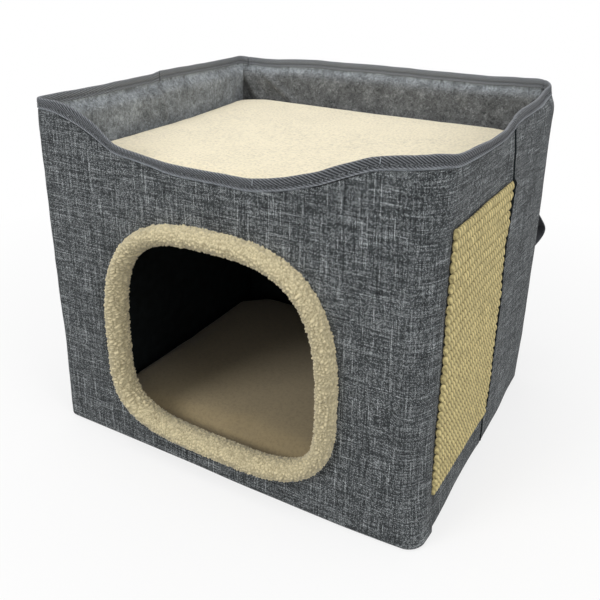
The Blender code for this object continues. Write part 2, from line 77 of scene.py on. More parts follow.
# Sizes shared with the part's own drawing.
SIDE_LEAN = 0.0112
END_LEAN = 0.0044
FABRIC = 0.0012
BOARD = 0.0045
FELT = 0.0015
CABIN_FABRIC = 0.0008
GAP = 0.0003
LINING_DEPTH = FABRIC + BOARD + 2 * GAP
ROLL_HALF_WIDTH = 0.0095
ROLL_HALF_DEPTH = 0.0140
DOOR_X = (ROLL_LOW.x + ROLL_HIGH.x) / 2
DOOR_HALF_WIDTH = (ROLL_HIGH.x - ROLL_LOW.x) / 2 - ROLL_HALF_WIDTH
DOOR_WIDEST_Z = 0.117
DOOR_RISE = ROLL_HIGH.z - ROLL_HALF_WIDTH - DOOR_WIDEST_Z
DOOR_FALL = DOOR_WIDEST_Z - ROLL_LOW.z - ROLL_HALF_WIDTH
DOOR_TOP_POWER = 3.0
DOOR_BOTTOM_POWER = 3.4

# Sizes of the sewing. Areas are what is cut out of a panel, in square metres.
TAPE_DROP = 0.0106
BOARD_FOOT = 0.0022
BOARD_BELOW_RIM = 0.0230
FELT_BELOW_RIM = 0.0034
DOOR_AREA = 0.0455
FELT_DIP_AREA = 0.0105

# Distance along the walls, in metres, from the middle of the front, anticlockwise from above.
FRONT_RIGHT = HALF_W
BACK_RIGHT = HALF_W + DEPTH
BACK_LEFT = HALF_W + DEPTH + WIDTH
FRONT_LEFT = PERIMETER - HALF_W
FOLD_FROM_FRONT = 0.1790
RIGHT_FOLD = FRONT_RIGHT + FOLD_FROM_FRONT
LEFT_FOLD = BACK_LEFT + DEPTH - FOLD_FROM_FRONT
# The cover's own crease lies a little behind the gap between the right wall's two boards.
RIGHT_CREASE = FRONT_RIGHT + 0.1855


def linear_rgb(code):
    """The linear colour of an sRGB hex value."""
    values = [int(code[i : i + 2], 16) / 255 for i in (1, 3, 5)]
    return [v / 12.92 if v <= 0.04045 else ((v + 0.055) / 1.055) ** 2.4 for v in values]


def colour_prop(name, code, description):
    return FloatVectorProperty(
        name=name, description=description, subtype="COLOR", size=3, min=0, max=1, default=linear_rgb(code)
    )


def length_prop(name, metres, description):
    return FloatProperty(
        name=name, description=description, subtype="DISTANCE", unit="LENGTH", min=0, default=metres
    )


class CatHouseSizes(PropertyGroup):
    """Sizes a user may change without a new part."""

    corner: length_prop("Corner radius", 0.0115, "Radius of the three tight upright corners")
    soft_corner: length_prop("Soft corner", 0.0270, "Reach of the soft front right corner above its foot")
    foot_round: length_prop("Foot rounding", 0.0032, "Radius of the covers' turn under the base")
    tape_drop: length_prop("Tape drop", TAPE_DROP, "How far the tape reaches down each face of the rim")
    tape: length_prop("Tape thickness", 0.0007, "Thickness of the folded twill tape")
    curl: length_prop("Sherpa curl", 0.0030, "Spacing of the sherpa pile's curls")
    curl_height: length_prop("Curl height", 0.0031, "How far the curls stand out of the roll")
    rope_rows: IntProperty(name="Sisal rows", description="Rows of rope on the pad", min=4, default=28)
    voxel: length_prop("Cushion mesh", 0.0050, "Spacing of the mesh that the cushions are blown up on")


class CatHouseColours(PropertyGroup):
    """Colours of the finishes."""

    linen_dark: colour_prop("Linen, dark yarn", "#17191b", "Dark yarns of the outer cover")
    linen: colour_prop("Linen", "#4a4e50", "Middle tone of the outer cover's yarns")
    linen_light: colour_prop("Linen, light yarn", "#c5cacc", "Pale slub yarns of the outer cover")
    tape: colour_prop("Twill tape", "#63666a", "Tape folded over the rim")
    felt: colour_prop("Tray felt", "#626465", "Needle felt round the tray")
    # The felt's lit colour, painted on the felt's upper edge and on the left wall as painted highlight.
    felt_painted_highlight: colour_prop("Tray felt, painted highlight", "#8f959a", "Lighter felt colour painted on the felt's upper edge and left wall as painted highlight")
    black_cloth: colour_prop("Cabin cloth", "#1a1f21", "Thin non-woven cloth in the cabin")
    fleece: colour_prop("Cushion fleece", "#f2e6c6", "Short fleece of the tray cushion")
    suede: colour_prop("Mat suede", "#ab9975", "Brushed cloth of the floor mat")
    sherpa: colour_prop("Sherpa", "#dccfa9", "Curly pile of the roll round the door")
    sisal: colour_prop("Sisal", "#c6b783", "Sisal rope of the scratching pad")
    webbing: colour_prop("Webbing", "#4e5055", "Carrying strap and its tabs")
    board: colour_prop("Hardboard", "#8a6a47", "Pressed boards in the walls")
    card: colour_prop("Grey card", "#77736b", "Grey card of the floor board and the pad's back")
    hook: colour_prop("Hook tape", "#1d1e20", "Hook and loop strips under the pad")


def sizes():
    return bpy.context.scene.cat_house_sizes


def colours():
    return bpy.context.scene.cat_house_colours


# Shapes of the walls.


def soft_share(value, none, full):
    """0 on the far side of none, 1 on the far side of full, and a soft rise from one to the other."""
    share = np.clip((value - none) / (full - none), 0.0, 1.0)
    return share * share * (3 - 2 * share)


def ridge(value, place, half_width):
    """1 along a line, fading away on both sides of it."""
    return np.exp(-(((value - place) / half_width) ** 2))


def eased(at, places, values, blur=0.010, step=0.001):
    """Measured values read at given places, with the corners of the graph rounded off."""
    fine = np.arange(places[0] - 4 * blur, places[-1] + 4 * blur, step)
    kernel = np.exp(-0.5 * (np.arange(-3 * blur, 3 * blur + 1e-9, step) / blur) ** 2)
    raw = np.interp(fine, places, values)
    edge = len(kernel) // 2
    padded = np.pad(raw, edge, mode="edge")
    return np.interp(at, fine, np.convolve(padded, kernel / kernel.sum(), mode="valid")[: len(fine)])


def lattice(x, y, z, seed):
    """A repeatable number from 0 to 1 at each whole place."""
    mixed = (x * 73856093) ^ (y * 19349663) ^ (z * 83492791) ^ (seed * 265443576)
    mixed = (mixed ^ (mixed >> 13)) * 1274126177
    mixed = (mixed ^ (mixed >> 16)) & 0x7FFFFFFF
    return (mixed % 65521) / 65521.0


def soft_noise(points, size, seed):
    """Smooth noise from 0 to 1 whose blobs are about as wide as size."""
    scaled = points / size
    cell = np.floor(scaled).astype(np.int64)
    part = scaled - cell
    part = part * part * (3 - 2 * part)
    total = 0.0
    for corner in np.ndindex(2, 2, 2):
        weight = np.prod(np.where(np.array(corner) == 1, part, 1 - part), axis=-1)
        total = total + weight * lattice(*[cell[..., k] + corner[k] for k in range(3)], seed)
    return total


def pebbles(points, size, seed):
    """Round lumps packed side by side: 1 on their tops and 0 in the creases between them."""
    scaled = points / size
    cell = np.floor(scaled).astype(np.int64)
    nearest = np.full(scaled.shape[:-1], 9.0)
    second = np.full(scaled.shape[:-1], 9.0)
    for step in np.ndindex(3, 3, 3):
        place = [cell[..., k] + step[k] - 1 for k in range(3)]
        gap = sum(
            (place[k] + 0.15 + 0.7 * lattice(*place, seed + k) - scaled[..., k]) ** 2 for k in range(3)
        )
        second = np.minimum(second, np.maximum(gap, nearest))
        nearest = np.minimum(nearest, gap)
    return np.clip((np.sqrt(second) - np.sqrt(nearest)) * 1.6, 0, 1)


# Along the walls, in millimetres: place, height of the tape's top, its reach down, and its lean outwards.
RIM = (
    (-198, 359.5, 9.8, 0), (-186, 359.6, 11.2, 0), (-174, 358.0, 13.2, 0), (-162, 354.8, 14.0, 0),
    (-150, 349.4, 13.3, 0), (-139, 343.7, 13.0, 0), (-128, 335.8, 11.1, 0), (-122, 331.5, 9.8, 0),
    (-117, 328.2, 8.6, 0), (-105, 325.6, 7.8, 0), (-88, 323.5, 7.4, 0), (-70, 321.3, 7.8, 0),
    (-54, 319.7, 9.2, 0), (-37, 319.1, 9.8, 0), (-16, 319.0, 9.8, 0), (5, 319.5, 10.5, 0),
    (25, 319.3, 10.8, 0), (35, 319.2, 10.8, 0), (54, 321.9, 11.0, 0), (72, 325.9, 11.3, 0),
    (90, 330.7, 11.4, 0), (104, 335.0, 11.7, 0), (116, 340.4, 12.2, 0), (124, 343.4, 11.9, 0),
    (137, 348.1, 11.5, 0), (148, 352.2, 11.0, 0), (160, 354.9, 10.7, 0), (171, 356.6, 10.8, 0),
    (182, 358.0, 10.8, 0), (193, 359.5, 10.8, 0), (210, 359.9, 10.6, 0), (229, 358.2, 10.0, 0.2),
    (245, 357.0, 10.2, 0.8), (278, 356.4, 10.8, 1.9), (302, 355.0, 10.0, 2.0), (325, 354.9, 10.3, 2.0),
    (345, 354.8, 10.8, 1.9), (365, 354.0, 11.0, 0.8), (385, 354.8, 11.2, 0.0), (397, 356.8, 11.0, -0.2),
    (415, 357.8, 11.0, -0.4), (445, 357.6, 10.2, -0.3), (465, 358.0, 10.5, 0.3), (495, 357.4, 10.5, 1.6),
    (515, 357.6, 10.6, 1.6), (540, 360.2, 10.8, 0.7), (556, 362.2, 9.4, 0), (566, 365.0, 9.6, 0),
    (578, 366.6, 10.0, 0), (594, 365.4, 10.0, 0), (635, 363.4, 10.0, 0), (716, 363.6, 10.0, 0),
    (777, 363.8, 10.0, 0), (818, 363.0, 10.0, 0), (859, 363.2, 10.0, 0), (900, 361.8, 10.0, 0),
    (920, 360.2, 10.0, 0), (940, 359.6, 10.0, 0), (970, 360.4, 10.0, 0), (985, 361.4, 10.0, 0),
    (1080, 361.4, 10.0, 0), (1130, 362.4, 10.0, 0), (1152, 362.6, 10.0, 0), (1162, 360.6, 10.0, 0),
    (1330, 359.8, 10.0, 0),
)


def along_rim(s, column):
    """One column of the rim's table at a distance along the walls, in metres, with soft corners."""
    step, blur, spare = 0.001, 15, 20
    fine = np.arange(0, PERIMETER, step)
    places, values = (np.array([row[k] for row in RIM]) / 1000 for k in (0, column))
    raw = np.interp(fine, places, values, period=PERIMETER)
    kernel = np.hanning(blur)
    wide = np.concatenate([raw[-spare:], raw, raw[:spare]])
    smooth = np.convolve(wide, kernel / kernel.sum(), mode="same")[spare:-spare]
    return np.interp(s, fine, smooth, period=PERIMETER)


def front_x(s):
    """Distance along the walls from the middle of the front, with a sign for the side it lies on."""
    return np.mod(s + PERIMETER / 2, PERIMETER) - PERIMETER / 2


def rim_top(s):
    return along_rim(s, 1)


def rim_drop(s):
    return along_rim(s, 2) * sizes().tape_drop / TAPE_DROP


# How full a curve of the third order has to be to draw a quarter circle.
ROUND = 0.5523


def corner_reach(z, depth):
    """For each corner: how far the turn reaches before it and after it, and how full the turn is."""
    tight = sizes().corner + 0 * z
    crisp = sizes().corner * 0.6 + 1.3 * np.maximum(depth, 0.0) + 0 * z
    soft = sizes().soft_corner
    foot_before, foot_after = 0.013, 0.014
    share = soft_share(z, 0.004, 0.059)
    before = foot_before + (soft * 0.90 - foot_before) * share
    after = foot_after + (soft * 1.08 - foot_after) * share
    return (
        (crisp, crisp, ROUND + 0 * z),
        (before, after, ROUND - 0.11 * share),
        (tight * 0.85, tight * 0.85, ROUND + 0 * z),
        (tight, tight, ROUND + 0 * z),
    )


def plan_point(s, z, depth=0.0):
    """Plan of the outer skin at the floor's size; layers deep in the wall turn the left corner more softly."""
    along = np.mod(s + HALF_W, PERIMETER)
    starts = (0.0, WIDTH, WIDTH + DEPTH, 2 * WIDTH + DEPTH)
    corners = ((-HALF_W, -HALF_D), (HALF_W, -HALF_D), (HALF_W, HALF_D), (-HALF_W, HALF_D))
    ways = ((1, 0), (0, 1), (-1, 0), (0, -1))
    side = np.clip(np.searchsorted(np.array(starts), along, side="right") - 1, 0, 3)
    run = along - np.array(starts)[side]
    x, y = (
        np.array([c[k] for c in corners])[side] + np.array([w[k] for w in ways])[side] * run for k in (0, 1)
    )
    for k, (before, after, fullness) in enumerate(corner_reach(z, depth)):
        gap = front_x(along - starts[k])
        inside = (gap > -before) & (gap < after)
        t = np.clip((gap + before) / (before + after), 0, 1)
        way_in, way_out = ways[k - 1], ways[k]
        rounded = []
        for axis in (0, 1):
            start = corners[k][axis] - way_in[axis] * before
            end = corners[k][axis] + way_out[axis] * after
            first = start + fullness * (corners[k][axis] - start)
            last = end + fullness * (corners[k][axis] - end)
            rounded.append(
                (1 - t) ** 3 * start
                + 3 * (1 - t) ** 2 * t * first
                + 3 * (1 - t) * t**2 * last
                + t**3 * end
            )
        x = np.where(inside, rounded[0], x)
        y = np.where(inside, rounded[1], y)
    return x, y


# How far the front stands out at the floor, in metres, at places in X.
FRONT_BOW_X = (-0.201, -0.151, -0.098, -0.029, 0.005, 0.039, 0.067, 0.093, 0.140, 0.185, 0.202)
FRONT_BOW = (0.0018, 0.0022, 0.0028, 0.0036, 0.0048, 0.0054, 0.0052, 0.0056, 0.0056, 0.0040, 0.0026)
# How far the left front corner stands out to the left, in millimetres, at heights in Z.
CORNER_Z = (0, 16, 61, 107, 152, 198, 243, 288, 334, 357)
CORNER_PUSH = (3.0, 3.0, 3.5, 4.3, 5.7, 6.1, 6.9, 6.9, 7.2, 5.7)
# How far the right wall stands out, in millimetres, at places in Y and heights in Z.
SWELL_Y = (-175, -165, -150, -130, -100, -70, -40, -20, -5, 4, 12)
SWELL_Z = (0, 45, 100, 235, 270, 300, 325, 345)
SWELL = (
    (0, 0.9, 2.0, 2.7, 2.2, 1.1, 1.0, 1.2, 1.6, 2.2, 2.8),
    (0, -0.5, -0.5, 0.0, 0.4, 0.6, 0.6, 0.8, 1.2, 1.8, 2.4),
    (0, -1.0, -1.0, 0.0, 0.8, 1.4, 1.8, 2.2, 2.8, 3.3, 3.8),
    (0, -1.0, -1.0, 0.0, 0.8, 1.4, 1.8, 2.2, 2.8, 3.3, 3.8),
    (0, 0.0, 0.0, 0.5, 1.2, 1.8, 2.4, 2.8, 3.4, 4.4, 5.6),
    (0, 0.0, 0.2, 0.9, 1.6, 2.2, 2.8, 3.2, 3.6, 5.0, 7.2),
    (0, 0.0, 0.6, 2.0, 3.2, 3.8, 4.0, 3.8, 4.0, 4.6, 5.4),
    (0, 0.0, 1.0, 2.8, 4.3, 5.1, 5.2, 3.6, 2.6, 2.4, 3.0),
)
# How far the rear half's rim stands out at places in Y, and its rear edge at heights in Z, in millimetres.
REAR_RIM_Y = (12, 28, 51, 72, 90, 105, 125, 143, 160, 175)
REAR_RIM = (2.0, 1.1, 0.7, 0.8, 0.0, -1.5, -3.0, -3.8, -2.6, 0.4)
EDGE_Z = (0, 65, 146, 222, 270, 302, 325, 338, 346, 351, 360)
EDGE_SWELL = (0.5, 3.0, 3.6, 5.2, 4.2, 4.6, 5.2, 5.6, 4.4, 1.6, 0.0)


def side_swell(y, z):
    """Swell of the right wall: the front half stands out at the fold, and the rear half lies in."""
    by_row = np.stack([eased(y * 1000, SWELL_Y, row, 5.0, 0.5) for row in SWELL])
    place = np.interp(z * 1000, SWELL_Z, np.arange(len(SWELL_Z)))
    low = np.clip(np.floor(place).astype(int), 0, len(SWELL_Z) - 2)
    share = 0.5 * (place - low) + 0.5 * soft_share(place, low, low + 1)
    below = np.take_along_axis(by_row, low[None], axis=0)[0]
    above = np.take_along_axis(by_row, low[None] + 1, axis=0)[0]
    front = (below + share * (above - below)) / 1000
    # The rear half is flat but for its foot, and follows its rim near the top, higher up towards the back
    # corner. Its rear edge swells by a line of its own.
    late = soft_share(y, 0.06, 0.12)
    at_rim = soft_share(z, 0.300 + 0.040 * late, 0.345 + 0.007 * late)
    rim = eased(y * 1000, REAR_RIM_Y, REAR_RIM, 6.0, 0.5) / 1000 * soft_share(y, HALF_D + 0.02, HALF_D)
    flat = (0.0036 * soft_share(z, 0.08, 0) - 0.0012) * soft_share(y, HALF_D - 0.04, HALF_D - 0.10)
    edge = eased(z * 1000, EDGE_Z, EDGE_SWELL, 4.0, 0.5) / 1000
    edge = edge * soft_share(y, 0.025, 0.155) * soft_share(y, HALF_D + 0.07, HALF_D)
    rear = flat + (rim - flat) * at_rim + edge
    crease = RIGHT_CREASE - FRONT_RIGHT - HALF_D
    step = soft_share(y, crease - 0.0012, crease + 0.0012)
    return (1 - step) * front + step * rear


def wall_swell(s, z):
    """How far the wall stands out from the flat, without its creases."""
    s, z = np.broadcast_arrays(np.asarray(s, float), np.asarray(z, float))
    x = front_x(s)
    near_floor = soft_share(z, 0.12, 0)
    bow = eased(np.clip(x, -0.24, 0.24), FRONT_BOW_X, FRONT_BOW)
    swell = np.where(np.abs(x) < 0.24, bow * near_floor, 0.0)
    # The left wall swells like the right one, but more calmly, above all near the rim.
    calm = 0.6 * (1 - 0.7 * soft_share(z, 0.28, 0.34))
    for fold, mirror, share in ((RIGHT_FOLD, 1, 1.0), (LEFT_FOLD, -1, calm)):
        y = front_x(mirror * (s - fold)) + FOLD_FROM_FRONT - HALF_D
        on_wall = (y > -HALF_D - 0.02) & (y < HALF_D + 0.08)
        swell = swell + np.where(on_wall, side_swell(y, z) * share, 0.0)
    # The back wall stands out towards its rim, away from its corners.
    back_x = HALF_W - np.mod(s - BACK_RIGHT, PERIMETER)
    spread = soft_share(back_x, 0.19, 0.16) * soft_share(back_x, -0.165, -0.115)
    swell = swell + 0.0060 * soft_share(z, 0.29, 0.35) * spread
    points = np.stack([s, z, 0 * s], axis=-1)
    quiet = soft_share(z, 0, 0.03) * soft_share(z, rim_top(s), rim_top(s) - 0.03)
    # Height, length and seed of the cloth's long and short waves.
    for high, long, seed in ((0.0011, 0.055, 5), (0.0005, 0.016, 6)):
        swell = swell + high * (soft_noise(points, long, seed) - 0.5) * quiet
    return swell


def wall_crease(s, z, seams=()):
    """How deep the creases and the seams of the cover go."""
    s, z = np.broadcast_arrays(np.asarray(s, float), np.asarray(z, float))
    depth = np.zeros_like(s)
    open_part = soft_share(z, 0.355, 0.335)
    # Depth and half width of the creases, which close under the tape, and of the seams.
    creases = ((RIGHT_CREASE, 0.0021), (LEFT_FOLD, 0.00294))
    lines = [(fold, deep * open_part, 0.0009) for fold, deep in creases]
    lines += [(seam, 0.0007, 0.0011) for seam in seams]
    for place, deep, half_width in lines:
        depth = depth + deep * ridge(s, place, half_width)
    return depth


def wall_point(s, z, depth=0.0, follow=1.0, seams=()):
    """A point of the wall, depth below its outer face, with the walls leaned in."""
    s, z = np.broadcast_arrays(np.asarray(s, float), np.asarray(z, float))
    x, y = plan_point(s, z, depth)
    ahead, behind = plan_point(s + 0.0004, z, depth), plan_point(s - 0.0004, z, depth)
    tangent = np.stack([ahead[0] - behind[0], ahead[1] - behind[1]])
    tangent = tangent / np.linalg.norm(tangent, axis=0)
    out = wall_swell(s, z) * follow - depth
    if seams is not None:
        out = out - wall_crease(s, z, seams)
    # The left front corner is pushed out to the left.
    push = eased(z * 1000, CORNER_Z, CORNER_PUSH, 12.0, 1.0) / 1000
    push = push * soft_share(x, -0.13, -0.20) * soft_share(y, 0.10 - HALF_D, -HALF_D)
    x = x * (1 - SIDE_LEAN / HALF_W * z / HEIGHT) + tangent[1] * out - push
    y = y * (1 - END_LEAN / HALF_D * z / HEIGHT) - tangent[0] * out
    return np.stack([x, y, np.broadcast_to(z, x.shape)], axis=-1)


def stations(start, end, step, spots=()):
    """Places from start to end, crowded round each spot of (place, reach, step)."""
    places = [np.linspace(start, end, max(2, int(round((end - start) / step)) + 1))]
    for place, reach, fine in spots:
        places.append(np.arange(max(start, place - reach), min(end, place + reach), fine))
    merged = np.unique(np.concatenate(places))
    keep, least = [merged[0]], 0.00025
    for value in merged[1:-1]:
        if value - keep[-1] > least and merged[-1] - value > least:
            keep.append(value)
    return np.array([*keep, merged[-1]])


def outside_door(s, z):
    """For each face of a grid on the walls: true where it lies outside the door's outline."""
    s, z = ((grid[:-1, :-1] + grid[1:, 1:]) / 2 for grid in (s, z))
    upper = z > DOOR_WIDEST_Z
    power = np.where(upper, DOOR_TOP_POWER, DOOR_BOTTOM_POWER)
    reach = np.where(upper, DOOR_RISE, DOOR_FALL)
    across = np.abs(s - DOOR_X) / DOOR_HALF_WIDTH
    return across**power + (np.abs(z - DOOR_WIDEST_Z) / reach) ** power >= 1


def door_path(count):
    """Evenly spaced points of the door's outline in X and Z, with the outward directions."""
    angle = np.linspace(0, 2 * math.pi, 4001)[:-1]
    cos, sin = np.cos(angle), np.sin(angle)
    power = np.where(sin > 0, DOOR_TOP_POWER, DOOR_BOTTOM_POWER)
    reach = np.where(sin > 0, DOOR_RISE, DOOR_FALL)
    x = DOOR_HALF_WIDTH * np.sign(cos) * np.abs(cos) ** (2 / power)
    z = reach * np.sign(sin) * np.abs(sin) ** (2 / power)
    run = run_length(x, z)
    even = np.arange(count) * (run[-1] + math.hypot(x[0] - x[-1], z[0] - z[-1])) / count
    x, z = np.interp(even, run, x), np.interp(even, run, z)
    ahead = np.stack([np.roll(side, -2) - np.roll(side, 2) for side in (x, z)], axis=-1)
    ahead = ahead / np.linalg.norm(ahead, axis=-1, keepdims=True)
    return x + DOOR_X, z + DOOR_WIDEST_Z, np.stack([ahead[:, 1], -ahead[:, 0]], axis=-1), even


def run_length(first, second):
    """Distance run along a drawn line, up to each of its points."""
    return np.concatenate([[0], np.cumsum(np.hypot(np.diff(first), np.diff(second)))])


# Making meshes.


def new_piece(name, mesh, material, smooth=True):
    if smooth:
        mesh.shade_smooth()
    mesh.materials.append(material)
    piece = bpy.data.objects.new(name, mesh)
    bpy.context.scene.collection.objects.link(piece)
    return piece


def drawn_mesh(name, bm):
    mesh = bpy.data.meshes.new(name)
    bm.to_mesh(mesh)
    bm.free()
    return mesh


def add_painted_light(mesh, values):
    """Store a value at each point for the finish to paint as light and shade: a pile's or rope's height, or a
    plain share of painted shade or painted highlight.
    """
    attribute = mesh.attributes.new("relief_and_painted_light", "FLOAT", "POINT")
    attribute.data.foreach_set("value", values.reshape(-1).astype(np.float32))


def grid_piece(name, points, uv, material, keep=None, close_rows=False, close_columns=False, relief_and_painted_light=None):
    """A smooth skin over a grid of points, with its UVs in metres and no face where keep is false."""
    rows, columns = points.shape[:2]
    index = np.arange(rows * columns).reshape(rows, columns)
    down = np.vstack([index, index[:1]]) if close_rows else index
    full = np.hstack([down, down[:, :1]]) if close_columns else down
    quads = np.stack([full[:-1, :-1], full[:-1, 1:], full[1:, 1:], full[1:, :-1]], axis=-1)
    if keep is not None:
        quads = quads[keep]
    mesh = bpy.data.meshes.new(name)
    mesh.from_pydata(points.reshape(-1, 3).tolist(), [], quads.reshape(-1, 4).tolist())
    layer = mesh.uv_layers.new(name="UVMap")
    order = np.zeros(len(mesh.loops), np.int64)
    mesh.loops.foreach_get("vertex_index", order)
    layer.data.foreach_set("uv", uv.reshape(-1, 2)[order].astype(np.float32).ravel())
    if relief_and_painted_light is not None:
        add_painted_light(mesh, relief_and_painted_light)
    if keep is not None:
        bm = bmesh.new()
        bm.from_mesh(mesh)
        bmesh.ops.delete(bm, geom=[vert for vert in bm.verts if not vert.link_faces], context="VERTS")
        bm.to_mesh(mesh)
        bm.free()
    return new_piece(name, mesh, material)


def thicken(piece, thickness, offset=-1.0):
    shell = piece.modifiers.new("thickness", "SOLIDIFY")
    shell.thickness = thickness
    shell.offset = offset
    shell.use_even_offset = True


def soften(piece, width, segments=3):
    rounding = piece.modifiers.new("rounded_edges", "BEVEL")
    rounding.width = width
    rounding.segments = segments
    rounding.limit_method = "ANGLE"
    rounding.angle_limit = math.radians(30)


def finish_piece(piece, body, slot, *nodes):
    """Hang a piece on its body and hide the solids it stands for."""
    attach(piece, body)
    if nodes:
        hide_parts(*nodes)
    return piece


# Finishes.


def add_node(tree, kind, inputs=(), out=0, stops=(), **settings):
    """One node with its settings, colour stops and links; an input is a value or another node's output."""
    node = tree.nodes.new("ShaderNode" + kind)
    for key, value in settings.items():
        setattr(node, key, value)
    for key, value in inputs.items() if isinstance(inputs, dict) else enumerate(inputs):
        if isinstance(value, bpy.types.NodeSocket):
            tree.links.new(value, node.inputs[key])
        else:
            node.inputs[key].default_value = value
    if stops:
        elements = node.color_ramp.elements
        while len(elements) < len(stops):
            elements.new(0.5)
        for element, (place, colour) in zip(elements, stops):
            element.position = place
            element.color = (*colour, 1.0)
    return node.outputs[out]


def shades(colour, *steps):
    """Stops of one linear colour, made darker or lighter: (place, factor)."""
    return [(place, [min(1.0, max(0.0, channel * factor)) for channel in colour]) for place, factor in steps]


def start_material(name, roughness, sheen=0.0, sheen_roughness=0.5):
    """A new material and its nodes, with what all these cloths and boards share."""
    material = bpy.data.materials.new(name)
    material.use_nodes = True
    shader = material.node_tree.nodes["Principled BSDF"]
    shader.inputs["Roughness"].default_value = roughness
    shader.inputs["Specular IOR Level"].default_value = 0.25
    shader.inputs["Sheen Weight"].default_value = sheen
    shader.inputs["Sheen Roughness"].default_value = sheen_roughness
    return material, material.node_tree


def lay_surface(tree, tone, stops, height, strength, distance, shadowed=False):
    """Colour the surface by the tone's stops and raise it by the height; when shadowed, the colour is scaled by
    the mesh's stored value, as painted shade.
    """
    shader = tree.nodes["Principled BSDF"]
    colour = add_node(tree, "ValToRGB", (tone,), stops=stops) if stops else tone
    if shadowed:
        shown = add_node(tree, "Attribute", out="Fac", attribute_name="relief_and_painted_light")
        colour = add_node(tree, "VectorMath", {0: colour, "Scale": shown}, operation="SCALE")
    bump = add_node(tree, "Bump", {"Height": height, "Strength": strength, "Distance": distance})
    tree.links.new(colour, shader.inputs["Base Color"])
    tree.links.new(bump, shader.inputs["Normal"])


def linen_material():
    """Linen-look polyester canvas, plain woven from slubby heather yarns: a fine grid with long streaks."""
    material, tree = start_material("linen_look_canvas", 0.92, sheen=0.08)
    # Yarns are about 0.6 mm apart; they are drawn 0.85 mm apart so that the weave shows.
    # A slub runs on for about 30 mm, and neighbouring yarns read the noise far from each other.
    yarn, slub, apart = 0.00085, 0.030, 7.313
    uv = add_node(tree, "TexCoord", out="UV")
    across, up = (add_node(tree, "SeparateXYZ", (uv,), axis) for axis in (0, 1))
    lanes, bands = [], []
    for along, over, seed in ((across, up, 3.1), (up, across, 11.7)):
        count = add_node(tree, "Math", (over, yarn), operation="DIVIDE")
        lane = add_node(tree, "Math", (count,), operation="FLOOR")
        run = add_node(tree, "Math", (along, slub), operation="DIVIDE")
        row = add_node(tree, "Math", (lane, apart), operation="MULTIPLY")
        place = add_node(tree, "CombineXYZ", (run, row, seed))
        streak = add_node(tree, "TexNoise", {"Vector": place, "Scale": 1.0, "Detail": 1.0, "Roughness": 0.45})
        lanes.append(lane)
        # What the yarn's noise gives: its tone, its pale slubs and its dark ones.
        ranges = ((0.38, 0.62), (0.65, 0.72), (0.37, 0.31))
        bands.append([add_node(tree, "MapRange", (streak, low, high)) for low, high in ranges])
    both = add_node(tree, "Math", lanes, operation="ADD")
    parity = add_node(tree, "Math", (both, 2.0), operation="FLOORED_MODULO")
    speck = add_node(tree, "TexWhiteNoise", (add_node(tree, "CombineXYZ", lanes),), noise_dimensions="3D")
    cloud = add_node(tree, "TexNoise", {"Vector": uv, "Scale": 26.0, "Detail": 2.0})
    # Weft slubs show only where they pass over the warp, and warp slubs run on almost unbroken.
    weft_up = add_node(tree, "Math", (1.0, parity), operation="SUBTRACT")
    warp_up = add_node(tree, "Math", (parity, 0.45, 0.55), operation="MULTIPLY_ADD")
    parts = [(parity, 0.26), (speck, 0.44), (cloud, 0.08)]
    for (tone, *slubs), weight, shown in zip(bands, (0.20, 0.12), (weft_up, warp_up)):
        pale, dark = (add_node(tree, "Math", (part, shown), operation="MULTIPLY") for part in slubs)
        parts += [(tone, weight), (pale, 0.27), (dark, -0.14)]
    total = -0.125
    for part, weight in parts:
        total = add_node(tree, "Math", (part, weight, total), operation="MULTIPLY_ADD")
    look = colours()
    stops = ((0.06, look.linen_dark), (0.47, look.linen), (1.0, look.linen_light))
    # The cover's stored value paints shade under the tape's hem and in the right crease.
    lay_surface(tree, total, stops, total, 0.55, 0.0005, shadowed=True)
    return material


def tape_material():
    """Polyester twill tape, woven flat and folded: slanted ribs, a pressed seam and a plain selvedge."""
    material, tree = start_material("twill_tape", 0.78, sheen=0.12)
    # The ribs of such tape are about 1 mm apart; they are drawn 1.9 mm apart so that they show.
    rib, slant = 0.0019, math.radians(28)
    turn = 2 * math.pi / rib
    uv = add_node(tree, "TexCoord", out="UV")
    run, across = (add_node(tree, "SeparateXYZ", (uv,), axis) for axis in (0, 1))
    # From place to place across the tape: the ribs fade in the pressed seam 3 mm above the selvedge and are
    # shallower on the crown, and the selvedge and the crown are painted paler, as painted highlight where they
    # face the light.
    bands = (
        (0.0008, 0.0022, 0.35, 1.0), (0.0085, 0.0108, 1.0, 0.45),
        (0.0004, 0.0011, 0.30, 0.0), (0.0088, 0.0105, 0.0, 0.10),
    )
    seam, crown, selvedge, pale = (add_node(tree, "MapRange", (across, *band)) for band in bands)
    grain = add_node(tree, "TexNoise", {"Vector": uv, "Scale": 520.0, "Detail": 2.0, "Roughness": 0.6})
    rise = add_node(tree, "Math", (across, turn * math.cos(slant)), operation="MULTIPLY")
    wave = add_node(tree, "Math", (run, turn * math.sin(slant), rise), operation="MULTIPLY_ADD")
    wave = add_node(tree, "Math", (grain, 2.2, wave), operation="MULTIPLY_ADD")
    for operation, *values in (("SINE",), ("MULTIPLY_ADD", 0.5, 0.5), ("POWER", 1.6)):
        wave = add_node(tree, "Math", (wave, *values), operation=operation)
    for part in (seam, crown):
        wave = add_node(tree, "Math", (wave, part), operation="MULTIPLY")
    height = add_node(tree, "Math", (1.0, wave), operation="SUBTRACT")
    tone = height
    for part, weight in ((grain, 0.50), (selvedge, 1.0), (pale, 1.0)):
        tone = add_node(tree, "Math", (part, weight, tone), operation="MULTIPLY_ADD")
    tone = add_node(tree, "Math", (tone, 0.6), operation="MULTIPLY")
    stops = shades(colours().tape, (0.15, 0.15), (0.48, 0.50), (0.68, 0.98), (0.86, 2.3))
    # The stored value paints shadow at the tape's joins.
    lay_surface(tree, tone, stops, height, 0.6, 0.0004, shadowed=True)
    return material


